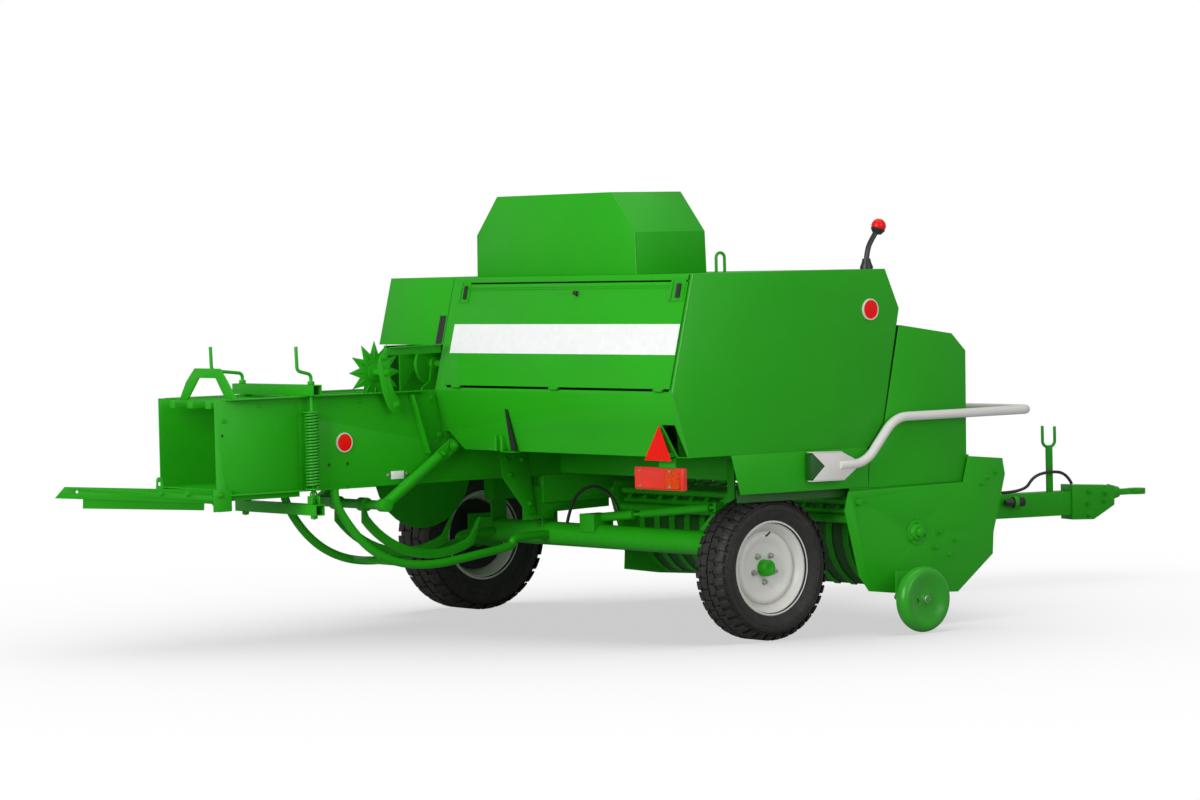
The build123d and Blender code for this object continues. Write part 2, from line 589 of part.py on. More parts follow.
lean = degrees(atan2(cover_rear_top_y - cover_knee[0], cover_top_z - cover_knee[1]))
door_gap = 5.0
with BuildPart() as rear_door:
    door_h = hypot(cover_line(door_z1) - cover_line(door_z0), door_z1 - door_z0)
    add(block(door_x0, door_x1, -door_gap - 3, -door_gap, 8, door_h))
    for x0 in (door_x0, door_x1 - 3):
        add(block(x0, x0 + 3, -door_gap, -0.5, 8, door_h))
    for share in (0.06, 0.507, 0.956):
        x = door_x0 + (door_x1 - door_x0) * share
        add(rod_x(x - 30, x + 30, -12, 0, 6))
        add(block(x - 30, x + 30, -door_gap - 3, -door_gap, 0, 10))
rear_door.part = rear_door.part.moved(Location((0, cover_line(door_z0 - 10), door_z0 - 10), (-lean, 0, 0)))
save(rear_door, "rear_door")

with BuildPart() as top_hood:
    with BuildSketch(Plane.XZ.offset(-hood_y1)) as hood_face:
        with BuildLine():
            Polyline((-423, cover_top_z + seat_gap), (-420, 1845), (-258, hood_z), (586, hood_z), (750, 1840),
                     (757, cover_top_z + seat_gap), close=True)
        make_face()
    extrude(hood_face.sketch, amount=hood_y1 - hood_y0)
    with BuildSketch(Plane.XZ.offset(-hood_y1 + 3)) as hood_room:
        with BuildLine():
            Polyline((-420, cover_top_z), (-417, 1844), (-257, hood_z - 3), (585, hood_z - 3), (747, 1839),
                     (754, cover_top_z), close=True)
        make_face()
    extrude(hood_room.sketch, amount=hood_y1 - hood_y0 - 6, mode=Mode.SUBTRACT)
save(top_hood, "top_hood")

knotter_x0 = left_wall_x - 48
knotter_x1 = cover_left_x - fit_gap
knotter_z = 1335.0
knotter_front_y = -330.0
knotter_hinge_y = knotter_front_y + 14
knotter_hinge_z = knotter_z + 16
knotter_pin_r = 7.0
with BuildPart() as knotter_cover:
    add(side_sheet(knotter_x0, knotter_x1, [
        (cover_line(cover_top_z), cover_top_z), (cover_line(knotter_z), knotter_z), (knotter_front_y, knotter_z),
        (knotter_front_y, cover_top_z - 60), (knotter_front_y - 60, cover_top_z)]))
    add(side_sheet(knotter_x0 + 3, knotter_x1 - 3, [
        (cover_line(cover_top_z) + 3, cover_top_z - 3), (cover_line(knotter_z) + 3, knotter_z - 1),
        (knotter_front_y - 3, knotter_z - 1), (knotter_front_y - 3, cover_top_z - 62), (knotter_front_y - 62, cover_top_z - 3)]),
        mode=Mode.SUBTRACT)
    for x0 in (left_wall_x + 60, right_wall_x - 100):
        add(block(x0, x0 + 40, knotter_front_y - 2, knotter_hinge_y + 11, knotter_z + 2, knotter_hinge_z + 11))
    add(rod_x(left_wall_x, right_wall_x, knotter_hinge_y, knotter_hinge_z, knotter_pin_r + run_gap), mode=Mode.SUBTRACT)
save(knotter_cover, "knotter_cover")

knot_shaft = (-900.0, 1240.0)
deck_top = roof_z + 16
with BuildPart() as knotter_deck:
    add(block(left_wall_x, right_wall_x, -1060, -420, roof_z + 6 + seat_gap, deck_top))
    for x in (left_wall_x + 10, right_wall_x - 22):
        add(block(x, x + 12, -1000, -500, deck_top, 1330))
    for x in needle_x:
        add(block(x - 24, x + 24, *roof_slot, roof_z + 6, roof_z + 18), mode=Mode.SUBTRACT)
    add(rod_x(left_wall_x + 10, right_wall_x - 10, *knot_shaft, 18))
    for x in needle_x:
        add(rod_x(x + 30, x + 50, *knot_shaft, 110))
        add(rod_x(x + 24, x + 70, *knot_shaft, 34))
        add(side_sheet(x + 56, x + 68, [
            (-1000, deck_top), (-760, deck_top), (-772, 1128), (-850, 1168), (-868, knot_shaft[1]), (-932, knot_shaft[1]),
            (-944, 1160), (-990, 1128)]))
        add(block(x + 28, x + 68, -1000, -760, deck_top - 1, deck_top + 10))
        add(rod_x(x + 34, x + 60, -830, 1142, 30))
        add(straight_bar((x + 46, -800, 1118), (x + 34, -786, 1168), 9))
        add(straight_bar((x + 36, -788, 1162), (x + 18, -768, 1170), 6))
save(knotter_deck, "knotters")

with BuildPart() as knotter_hinge:
    add(rod_x(left_wall_x + 12, right_wall_x - 12, knotter_hinge_y, knotter_hinge_z, knotter_pin_r))
    for x0 in (left_wall_x + 10, right_wall_x - 22):
        add(block(x0, x0 + 12, knotter_hinge_y - 8, knotter_hinge_y + 8, roof_z + 6 + seat_gap, knotter_hinge_z + 8))
save(knotter_hinge, "knotter_hinge")

# Front housing over the feeder
with BuildPart() as feeder_hood:
    hood_points = [(16, feeder_bottom_z), (feeder_front_y - 54, feeder_bottom_z), (feeder_front_y - 6, 779),
                   (feeder_front_y, 1263), (feeder_front_y - 86, 1345), (208 + 24, 1392), (208 + 14, 1392),
                   (cover_lip[0] + 8, cover_lip[1]), (cover_low_front[0] + 6, cover_low_front[1])]
    inner_points = [(0, feeder_bottom_z - 5), (feeder_front_y - 59, feeder_bottom_z - 5), (feeder_front_y - 9, 779),
                    (feeder_front_y - 3, 1261), (feeder_front_y - 88, 1342), (236, 1388), (200, 1388), (90, 951), (0, 845)]
    add(side_sheet(right_wall_x + wall_t + seat_gap, cover_right_x, hood_points))
    add(side_sheet(right_wall_x, cover_right_x - 3, inner_points), mode=Mode.SUBTRACT)
    add(block(right_wall_x, cover_right_x - 3, 500, 700, 600, 779), mode=Mode.SUBTRACT)
save(feeder_hood, "feeder_hood")

with BuildPart() as side_skirt:
    add(side_sheet(cover_right_x - 4, cover_right_x, [
        (-800, cover_low_rear[1]), (-749, 668), (0, 662), (14, 662), (14, cover_low_rear[1])]))
save(side_skirt, "side_skirt")

with BuildPart() as feed_table:
    add(block(right_wall_x + wall_t + seat_gap, cover_right_x - 12, table_wall_y, 12, floor_z - 24, floor_z - 18))
    add(block(right_wall_x + wall_t + seat_gap, cover_right_x - 12, table_wall_y - 4, table_wall_y, floor_z - 24, cover_low_rear[1]))
save(feed_table, "feed_table")

# Silver rail round the front
rail_r = 21.0
rail_front_y = 1030.0
rail_x0 = -500.0
rail_x1 = cover_right_x + 40
rail_low_z = 774.0
rail_top_z = 976.0
with BuildPart() as guard_rail:
    add(tube_path([(rail_x1, -200, rail_low_z), (rail_x1, -38, rail_low_z), (rail_x1, 150, rail_top_z),
                   (rail_x1, rail_front_y, rail_top_z), (rail_x0, rail_front_y, rail_top_z),
                   (rail_x0, feeder_front_y + 2, rail_top_z)], (170, 170, 80, 80), rail_r))
    add(block(rail_x0 - 36, rail_x0 + 36, feeder_front_y + seat_gap, feeder_front_y + 8, 930, 1022))
    add(side_sheet(rail_x1 - 5, rail_x1 + 5, [(-361, 822), (-180, rail_low_z + 20), (-180, rail_low_z - 20), (-361, 724)]))
    add(block(cover_right_x + seat_gap, rail_x1, -350, -310, 745, 805))
save(guard_rail, "guard_rail")

# Pickup
plate_outline = [(-118, 650), (-143, 565), (-63, 264), (-3, 190), (148, 172), (553, 150), (781, 312), (788, 411),
                 (869, 679), (854, 754), (634, 774), (597, 655)]
left_outline = [(-118, 650), (-143, 565), (-62, 300), (-68, 216), (150, 184), (553, 150), (781, 312), (788, 411), (869, 679),
                (854, 754), (800, 754), (770, 640), (700, 570), (597, 590)]
with BuildPart() as pickup_frame:
    for x0, outline in ((pickup_left_x - pickup_plate_t, left_outline), (pickup_plate_x, plate_outline)):
        add(side_sheet(x0, x0 + pickup_plate_t, outline))
        add(rod_x(x0 - 1, x0 + pickup_plate_t + 1, reel_y, reel_z, 20 + run_gap), mode=Mode.SUBTRACT)
        add(rod_x(x0 - 1, x0 + pickup_plate_t + 1, pickup_pivot[0], pickup_pivot[1], 16), mode=Mode.SUBTRACT)
    add(rod_x(pickup_left_x, pickup_plate_x, -70, 520, 20))
save(pickup_frame, "pickup_frame")

band_count = 14
band_step = (pickup_plate_x - pickup_left_x - 60) / band_count
with BuildPart() as strippers:
    for index in range(band_count + 1):
        x = pickup_left_x + 30 + band_step * index
        ring = [polar(reel_y, reel_z, stripper_r, a) for a in range(-70, 111, 12)]
        back = [polar(reel_y, reel_z, stripper_r - 10, a) for a in range(-70, 111, 12)]
        tail = [(-20, 610), (-40, 592), (-62, 560), (-44, 545), (-20, 578), (-8, 600)]
        add(side_sheet(x - 14, x + 14, ring + tail + back[::-1]))
    add(rod_x(pickup_left_x + seat_gap, pickup_plate_x - seat_gap, -50, 552, 14))
save(strippers, "strippers")

with BuildPart() as reel:
    add(rod_x(pickup_left_x - 20, pickup_plate_x + pickup_plate_t + 16, reel_y, reel_z, 20))
    for bar in range(4):
        by, bz = polar(reel_y, reel_z, reel_bar_r, 90 * bar)
        add(side_sheet(pickup_left_x + 30, pickup_plate_x - 30, [polar(by, bz, 14, 45 * n + 22.5) for n in range(8)]))
        for index in range(band_count):
            x = pickup_left_x + 30 + band_step * (index + 0.5)
            root = polar(reel_y, reel_z, reel_bar_r + 2, 90 * bar)
            tipp = polar(reel_y, reel_z, tine_tip_r - 12, 90 * bar - 12)
            with BuildSketch(Plane(origin=(x, root[0], root[1]), z_dir=(0, tipp[0] - root[0], tipp[1] - root[1]))) as foot:
                Rectangle(9, 9)
            extrude(foot.sketch, amount=hypot(tipp[0] - root[0], tipp[1] - root[1]))
    for x in (pickup_left_x + 40, pickup_plate_x - 50):
        add(side_sheet(x, x + 8, [polar(reel_y, reel_z, reel_bar_r + 20, 45 * n + 22.5) for n in range(8)]))
save(reel, "pickup_reel")

with BuildPart() as windguard:
    add(rod_x(pickup_left_x + seat_gap, pickup_plate_x - seat_gap, 830, 720, 16))
    for index in range(12):
        x = pickup_left_x + 80 + (pickup_plate_x - pickup_left_x - 160) / 11 * index
        add(tube_path([(x, 832, 712), (x, 790, 680), (x, 722, 655)], (60,), 5))
save(windguard, "windguard")

with BuildPart() as gauge_arm:
    add(block(pickup_plate_x + pickup_plate_t, pickup_plate_x + pickup_plate_t + 10, gauge_y - 5, gauge_y + 74, gauge_z - 12, 270))
    add(rod_x(pickup_plate_x + pickup_plate_t, gauge_x + 30, gauge_y, gauge_z, 12))
save(gauge_arm, "gauge_arm")

with BuildPart() as gauge_wheel:
    add(rod_x(gauge_x - gauge_w / 2, gauge_x + gauge_w / 2, gauge_y, gauge_z, gauge_r))
    fillet(gauge_wheel.edges().filter_by(GeomType.CIRCLE), 15)
    add(rod_x(gauge_x + gauge_w / 2 - 25, gauge_x + gauge_w / 2 + 1, gauge_y, gauge_z, gauge_r - 45), mode=Mode.SUBTRACT)
    add(rod_x(gauge_x, gauge_x + gauge_w / 2 - 12, gauge_y, gauge_z, 26))
    add(rod_x(gauge_x - gauge_w, gauge_x + gauge_w, gauge_y, gauge_z, 12 + run_gap), mode=Mode.SUBTRACT)
save(gauge_wheel, "gauge_wheel")

# Gearbox and flywheel at the front of the chamber
gearbox_y = chamber_front_y + seat_gap
flywheel_z = 905.0
flywheel_y = gearbox_y + 330
gear_shaft_r = 20.0
pto_r = 17.5
pto_len = 60.0
with BuildPart() as gearbox:
    add(block(left_wall_x + 20, right_wall_x - 20, gearbox_y, gearbox_y + 230, chamber_bottom_z + 20, chamber_top_z - 10))
    fillet(gearbox.edges().filter_by(Axis.Y), 40)
    with BuildSketch(Plane.XZ.offset(-gearbox_y - 220)) as nose:
        with Locations((chamber_x, flywheel_z)):
            Circle(90)
    extrude(nose.sketch, amount=-60)
    with BuildSketch(Plane.XZ.offset(-gearbox_y - 270)) as shaft:
        with Locations((chamber_x, flywheel_z)):
            Circle(gear_shaft_r)
    extrude(shaft.sketch, amount=-64)
save(gearbox, "gearbox")

with BuildPart() as flywheel:
    with BuildSketch(Plane.XZ.offset(-flywheel_y)) as disc:
        with Locations((chamber_x, flywheel_z)):
            Circle(280)
            Circle(230, mode=Mode.SUBTRACT)
    extrude(disc.sketch, amount=-70)
    with BuildSketch(Plane.XZ.offset(-flywheel_y - 20)) as web:
        with Locations((chamber_x, flywheel_z)):
            Circle(240)
    extrude(web.sketch, amount=-16)
    with BuildSketch(Plane.XZ.offset(-flywheel_y + 20)) as boss:
        with Locations((chamber_x, flywheel_z)):
            Circle(60)
    extrude(boss.sketch, amount=-110)
    with BuildSketch(Plane.XZ.offset(-flywheel_y - 90)) as stub:
        with Locations((chamber_x, flywheel_z)):
            Circle(pto_r)
    extrude(stub.sketch, amount=-pto_len)
    with BuildSketch(Plane.XZ.offset(-flywheel_y + 21)) as bore:
        with Locations((chamber_x, flywheel_z)):
            Circle(gear_shaft_r + run_gap)
    extrude(bore.sketch, amount=-60, mode=Mode.SUBTRACT)
save(flywheel, "flywheel")

# Drawbar in its own line, then swung about its pivot
bar_len = (eye_reach_y - pivot_y) / cos(radians(bar_angle))
swing = Location((pivot_x, pivot_y, 0), (0, 0, -bar_angle))
box_at = bar_len - 476
box_len = 257.0
with BuildPart() as drawbar:
    add(block(-bar_w / 2, bar_w / 2, -60, box_at + 20, bar_top_z - bar_h, bar_top_z))
    with Locations((0, 0, bar_top_z - bar_h / 2)):
        Cylinder(60, bar_h)
    with Locations((0, 0, bar_top_z - bar_h / 2)):
        Cylinder(24, bar_h + 2 * (5 + pivot_plate_t + 6))
drawbar.part = drawbar.part.moved(swing)
save(drawbar, "drawbar")

with BuildPart() as hitch:
    add(side_sheet(-bar_w / 2 - 8, bar_w / 2 + 8, [
        (box_at, bar_top_z - bar_h - 24), (box_at + 130, bar_top_z - bar_h - 28), (box_at + box_len, eye_z - 62),
        (box_at + box_len, bar_top_z + 19), (box_at, bar_top_z + 33)]))
    add(block(-bar_w / 2 - seat_gap, bar_w / 2 + seat_gap, box_at - 1, box_at + 20 + seat_gap, bar_top_z - bar_h - seat_gap, bar_top_z + seat_gap),
        mode=Mode.SUBTRACT)
    with Locations(Location((0, box_at + box_len + 28, eye_z), (-90, 0, 0))):
        Cone(44, 28, 58)
    with BuildSketch(Plane.XY.offset(eye_z - 15)) as ring:
        with Locations((0, bar_len - 50)):
            Circle(50)
        with Locations((0, bar_len - 112)):
            Rectangle(54, 125)
        with Locations((0, bar_len - 50)):
            Circle(20, mode=Mode.SUBTRACT)
    extrude(ring.sketch, amount=30)
hitch.part = hitch.part.moved(swing)
save(hitch, "hitch")

rest_at = box_at - 102
with BuildPart() as pto_rest:
    add(block(-8, 8, rest_at - 17, rest_at + 17, bar_top_z, 692))
    add(tube_path([(0, rest_at - 38, 800), (0, rest_at - 38, 690), (0, rest_at + 36, 690), (0, rest_at + 36, 795)], (32, 32), 8))
pto_rest.part = pto_rest.part.moved(swing)
save(pto_rest, "pto_rest")

hose_x = 24.0
hose_rest_z = bar_top_z + hose_r + seat_gap
bar_hose_points = [(hose_x, box_at - 404, hose_rest_z), (hose_x, box_at - 268, hose_rest_z), (hose_x, box_at - 215, 540),
                   (hose_x, box_at - 122, 562), (hose_x, box_at - 14, 552), (hose_x, box_at + 18, bar_top_z + 36.6)]
with BuildPart() as bar_hose:
    add(tube_path(bar_hose_points, (30, 40, 40, 30), hose_r))
bar_hose.part = bar_hose.part.moved(swing)
save(bar_hose, "bar_hose")

stand_y = 1180.0
stand_pin_z = 395.0
with BuildPart() as stand:
    add(block(bar_w / 2 + 10, bar_w / 2 + 60, stand_y - 25, stand_y + 25, 12, stand_pin_z + 30))
    add(block(bar_w / 2 + 6, bar_w / 2 + 100, stand_y - 60, stand_y + 60, 0, 12))
    add(rod_x(bar_w / 2 + seat_gap, bar_w / 2 + 10, stand_y, stand_pin_z, 25))
stand.part = stand.part.moved(swing)
save(stand, "parking_stand")

# Lamps, reflectors and small fittings
with BuildPart() as rear_lamp:
    add(block(839, 1168, -1066, -1030, 700, 800))
    add(block(1007, 1120, -1056, -1030, 790, cover_low_rear[1] - seat_gap))
save(rear_lamp, "rear_lamp")

with BuildPart() as marker_lamp:
    with Locations((1110, 112, cover_top_z + seat_gap + 20)):
        Cylinder(30, 40)
    add(tube_path([(1110, 112, cover_top_z + 30), (1110, 128, 1750), (1110, 186, 1836)], (80,), 14))
    with Locations((1110, 192, 1846)):
        Sphere(36)
save(marker_lamp, "marker_lamp")

with BuildPart() as lifting_eye:
    add(tube_path([(760, -490, cover_top_z + seat_gap), (760, -490, 1740), (760, -440, 1740), (760, -440, cover_top_z + seat_gap)],
                  (24, 24), 7))
save(lifting_eye, "lifting_eye")
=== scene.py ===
"""Looks of a pulled square baler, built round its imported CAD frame.

Metres, in the frame's own axes: X to the machine's right, Y forward to the drawbar, Z up, floor at Z = 0.
"""
from __future__ import annotations

import json
import logging
import math
from dataclasses import dataclass
from enum import Enum
from typing import Any, Iterable, Protocol, Sequence

import bmesh
import bpy
from mathutils import Matrix, Vector

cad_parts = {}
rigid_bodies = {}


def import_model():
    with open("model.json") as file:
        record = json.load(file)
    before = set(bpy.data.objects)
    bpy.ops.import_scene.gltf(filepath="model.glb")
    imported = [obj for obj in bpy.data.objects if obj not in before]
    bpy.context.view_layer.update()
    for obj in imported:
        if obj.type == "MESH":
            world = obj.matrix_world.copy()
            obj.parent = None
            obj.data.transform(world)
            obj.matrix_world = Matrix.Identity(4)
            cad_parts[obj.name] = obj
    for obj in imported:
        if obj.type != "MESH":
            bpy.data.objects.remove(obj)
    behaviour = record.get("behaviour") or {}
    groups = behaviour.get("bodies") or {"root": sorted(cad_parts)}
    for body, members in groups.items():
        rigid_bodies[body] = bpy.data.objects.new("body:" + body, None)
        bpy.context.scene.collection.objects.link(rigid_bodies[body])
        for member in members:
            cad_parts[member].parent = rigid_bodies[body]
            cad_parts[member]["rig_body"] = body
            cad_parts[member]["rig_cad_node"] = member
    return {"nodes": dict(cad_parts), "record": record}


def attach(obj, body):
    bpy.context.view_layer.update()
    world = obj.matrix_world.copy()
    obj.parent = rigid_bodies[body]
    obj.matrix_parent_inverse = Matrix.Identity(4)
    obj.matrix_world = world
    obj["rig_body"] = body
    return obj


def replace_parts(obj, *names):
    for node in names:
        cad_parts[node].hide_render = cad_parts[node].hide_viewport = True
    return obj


log = logging.getLogger("baler")

Point = Sequence[float]
Spot = tuple[float, float, float]
Flat = tuple[float, float]
Thing = bpy.types.Object
Socket = bpy.types.NodeSocket

ACROSS: Spot = (1, 0, 0)
REARWARD: Spot = (0, -1, 0)
FORWARD: Spot = (0, 1, 0)
UP: Spot = (0, 0, 1)
FACING = 0.9        # a face looks one way when its normal's share along it is above this


# ---------------------------------------------------------------- places


def polar(radius: float, degrees: float) -> Flat:
    """Run and rise of a radius at an angle."""
    angle = math.radians(degrees)
    return radius * math.cos(angle), radius * math.sin(angle)


def on_x(x: float, *spots: Flat) -> tuple[Spot, ...]:
    """Points in one plane across X, each given by its Y and Z."""
    return tuple((x, y, z) for y, z in spots)


def rect(y0: float, y1: float, z0: float, z1: float) -> tuple[Flat, ...]:
    """Corners of a rectangle seen from the side."""
    return (y0, z0), (y1, z0), (y1, z1), (y0, z1)


# ---------------------------------------------------------------- bench: Blender's operators, with selections by place


def clear_selection() -> None:
    """Leave edit mode and deselect everything."""
    if bpy.context.object is not None and bpy.context.object.mode != "OBJECT":
        bpy.ops.object.mode_set(mode="OBJECT")
    bpy.ops.object.select_all(action="DESELECT")


def take(thing: Thing) -> Thing:
    """Make one object the selected and active one."""
    clear_selection()
    thing.select_set(True)
    bpy.context.view_layer.objects.active = thing
    return thing


def just_added(name: str) -> Thing:
    """Name the object that an operator has just added."""
    thing = bpy.context.object
    thing.name = name
    return thing


def bake_place(thing: Thing) -> Thing:
    """Move the object's place, turn and scale into its mesh."""
    take(thing)
    bpy.ops.object.transform_apply(location=True, rotation=True, scale=True)
    return thing


def open_all(thing: Thing) -> None:
    """Go into edit mode with the whole mesh selected."""
    take(thing)
    bpy.ops.object.mode_set(mode="EDIT")
    bpy.ops.mesh.select_all(action="SELECT")


def leave_edit() -> None:
    """Back to object mode."""
    bpy.ops.object.mode_set(mode="OBJECT")


def close_solid(merge: float = 0.0) -> None:
    """Turn all faces outwards and leave edit mode, with points nearer than `merge` made one first."""
    bpy.ops.mesh.select_all(action="SELECT")
    if merge > 0:
        bpy.ops.mesh.remove_doubles(threshold=merge)
    bpy.ops.mesh.normals_make_consistent(inside=False)
    leave_edit()


def start_box(name: str, low: Point, high: Point) -> Thing:
    """A cube primitive between two corners, ready to be shaped.

    Args:
        name: the object's name.
        low: lowest corner.
        high: highest corner.

    Returns:
        The new object with its place in its mesh.
    """
    clear_selection()
    middle = [(a + b) / 2 for a, b in zip(low, high)]
    size = [abs(b - a) for a, b in zip(low, high)]
    bpy.ops.mesh.primitive_cube_add(size=1, location=middle, scale=size)
    return bake_place(just_added(name))


def start_rod(name: str, start: Point, end: Point, radius: float, sides: int = 24,
              tip_radius: float | None = None) -> Thing:
    """A cylinder or cone primitive from one point to another.

    Args:
        name: the object's name.
        start: middle of one end.
        end: middle of the other end.
        radius: radius at the start.
        sides: number of sides.
        tip_radius: radius at the end, the same as at the start if left out.

    Returns:
        The new object with its place in its mesh.
    """
    clear_selection()
    run = Vector(end) - Vector(start)
    bpy.ops.mesh.primitive_cone_add(
        vertices=sides, radius1=radius, radius2=radius if tip_radius is None else tip_radius, depth=run.length,
        location=(Vector(end) + Vector(start)) / 2, rotation=Vector(UP).rotation_difference(run).to_euler())
    return bake_place(just_added(name))


def sink(thing: Thing, way: Point, thickness: float, depth: float, squeeze: Point | None = None) -> Thing:
    """Inset the faces that look one way, and sink or raise what is inside.

    Args:
        thing: the object to shape.
        way: where the wanted faces look.
        thickness: width of the border that stays.
        depth: how far the inside moves outwards.
        squeeze: what the inside is scaled by afterwards, if anything.

    Returns:
        The same object.
    """
    take(thing)
    bpy.ops.object.mode_set(mode="EDIT")
    bpy.ops.mesh.select_mode(type="FACE")
    bpy.ops.mesh.select_all(action="DESELECT")
    mesh = bmesh.from_edit_mesh(thing.data)
    for face in mesh.faces:
        face.select_set(face.normal.dot(Vector(way)) > FACING)
    bmesh.update_edit_mesh(thing.data)
    bpy.ops.mesh.inset(thickness=thickness, depth=depth)
    if squeeze is not None:
        bpy.ops.transform.resize(value=squeeze)
    leave_edit()
    return thing


def round_edges(thing: Thing, width: float, segments: int = 2, angle: float = 35.0) -> Thing:
    """Bevel the sharp edges with an applied modifier.

    Args:
        thing: the object to bevel.
        width: width of the bevel in metres.
        segments: faces across the bevel.
        angle: least angle of an edge that is bevelled, in degrees.

    Returns:
        The same object.
    """
    take(thing)
    bevel = thing.modifiers.new("edge", "BEVEL")
    bevel.width = width
    bevel.segments = segments
    bevel.limit_method = "ANGLE"
    bevel.angle_limit = math.radians(angle)
    bevel.harden_normals = False
    bpy.ops.object.modifier_apply(modifier=bevel.name)
    return thing


def smooth(thing: Thing, angle: float = 35.0) -> Thing:
    """Shade smooth across edges flatter than an angle in degrees."""
    take(thing)
    bpy.ops.object.shade_smooth_by_angle(angle=math.radians(angle))
    return thing


def join(things: Sequence[Thing], name: str) -> Thing:
    """Join several meshes into the first of them, under one name."""
    clear_selection()
    for thing in things:
        thing.select_set(True)
    bpy.context.view_layer.objects.active = things[0]
    if len(things) > 1:
        bpy.ops.object.join()
    things[0].name = name
    return things[0]


def copy_to(thing: Thing, places: Iterable[Matrix], keep: bool = False) -> list[Thing]:
    """Copies of a finished mesh, each with its own mesh moved by a matrix.

    Args:
        thing: what is copied.
        places: a matrix for each copy.
        keep: whether the first object stays as well.

    Returns:
        The copies, after the first object where it stays.
    """
    made = [thing] if keep else []
    for place in places:
        twin = thing.copy()
        twin.data = thing.data.copy()
        twin.data.transform(place)
        bpy.context.scene.collection.objects.link(twin)
        made.append(twin)
    if not keep:
        bpy.data.objects.remove(thing)
    return made


def trace(name: str, spots: Sequence[Vector]) -> Thing:
    """Start a mesh as a line of edges through points, and stay in edit mode with all of it selected."""
    clear_selection()
    bpy.ops.mesh.primitive_plane_add(size=0.01, location=(0, 0, 0))
    thing = just_added(name)
    bpy.ops.object.mode_set(mode="EDIT")
    bpy.ops.mesh.merge(type="CENTER")
    bpy.ops.mesh.select_mode(type="VERT")
    bpy.ops.mesh.select_all(action="SELECT")
    bpy.ops.transform.translate(value=spots[0])
    for before, after in zip(spots, spots[1:]):
        bpy.ops.mesh.extrude_region_move(TRANSFORM_OT_translate={"value": after - before})
    bpy.ops.mesh.select_all(action="SELECT")
    return thing


def lathe(name: str, profile: Sequence[Flat], centre: Point, axis: Point = ACROSS, steps: int = 96) -> Thing:
    """Turn a profile about an axis.

    Args:
        name: the object's name.
        profile: points as (distance along the axis, radius); a closed ring of points gives a closed ring shape.
        centre: the point on the axis at distance 0.
        axis: direction of the axis.
        steps: faces round the turn.

    Returns:
        The turned object, its faces outwards.
    """
    along = Vector(axis).normalized()
    side = along.orthogonal().normalized()
    thing = trace(name, [Vector(centre) + along * a + side * r for a, r in profile])
    bpy.ops.mesh.spin(steps=steps, angle=2 * math.pi, center=Vector(centre), axis=along, use_auto_merge=True)
    close_solid(1e-5)
    return thing


def plate(name: str, outline: Sequence[Point], depth: Point) -> Thing:
    """A flat plate: a closed outline, filled and given a thickness.

    Args:
        name: the object's name.
        outline: its corners in order.
        depth: the thickness as a vector.

    Returns:
        The plate, its faces outwards.
    """
    thing = trace(name, [Vector(p) for p in outline])
    bpy.ops.mesh.edge_face_add()
    bpy.ops.mesh.extrude_region_move(TRANSFORM_OT_translate={"value": Vector(depth)})
    close_solid()
    return thing


def thread(line: bpy.types.Curve, spots: Sequence[Point], radius: float, sides: int, fine: int) -> None:
    """Lay one round spline through a curve's control points.

    Args:
        line: the curve's data.
        spots: its control points.
        radius: radius of the section.
        sides: quality of the round section, a quarter of its sides less one.
        fine: steps between control points.
    """
    line.dimensions = "3D"
    spline = line.splines.new("NURBS")
    spline.points.add(len(spots) - 1)
    for spot, p in zip(spline.points, spots):
        spot.co = (*p, 1.0)
    spline.order_u = 3
    spline.use_endpoint_u = True
    spline.resolution_u = fine
    line.bevel_depth = radius
    line.bevel_resolution = sides
    line.use_fill_caps = True


def bent_rod(name: str, points: Sequence[Point], radius: float, sides: int) -> Thing:
    """A round rod along a smooth curve, as a mesh."""
    clear_selection()
    bpy.ops.curve.primitive_nurbs_path_add(location=(0, 0, 0))
    thing = just_added(name)
    thing.data.splines.clear()
    thread(thing.data, points, radius, sides, 6)
    take(thing)
    bpy.ops.object.convert(target="MESH")
    return thing


# ---------------------------------------------------------------- finishes


def dim(colour: Point, share: float) -> Point:
    """A colour made darker."""
    return tuple(c * share for c in colour)


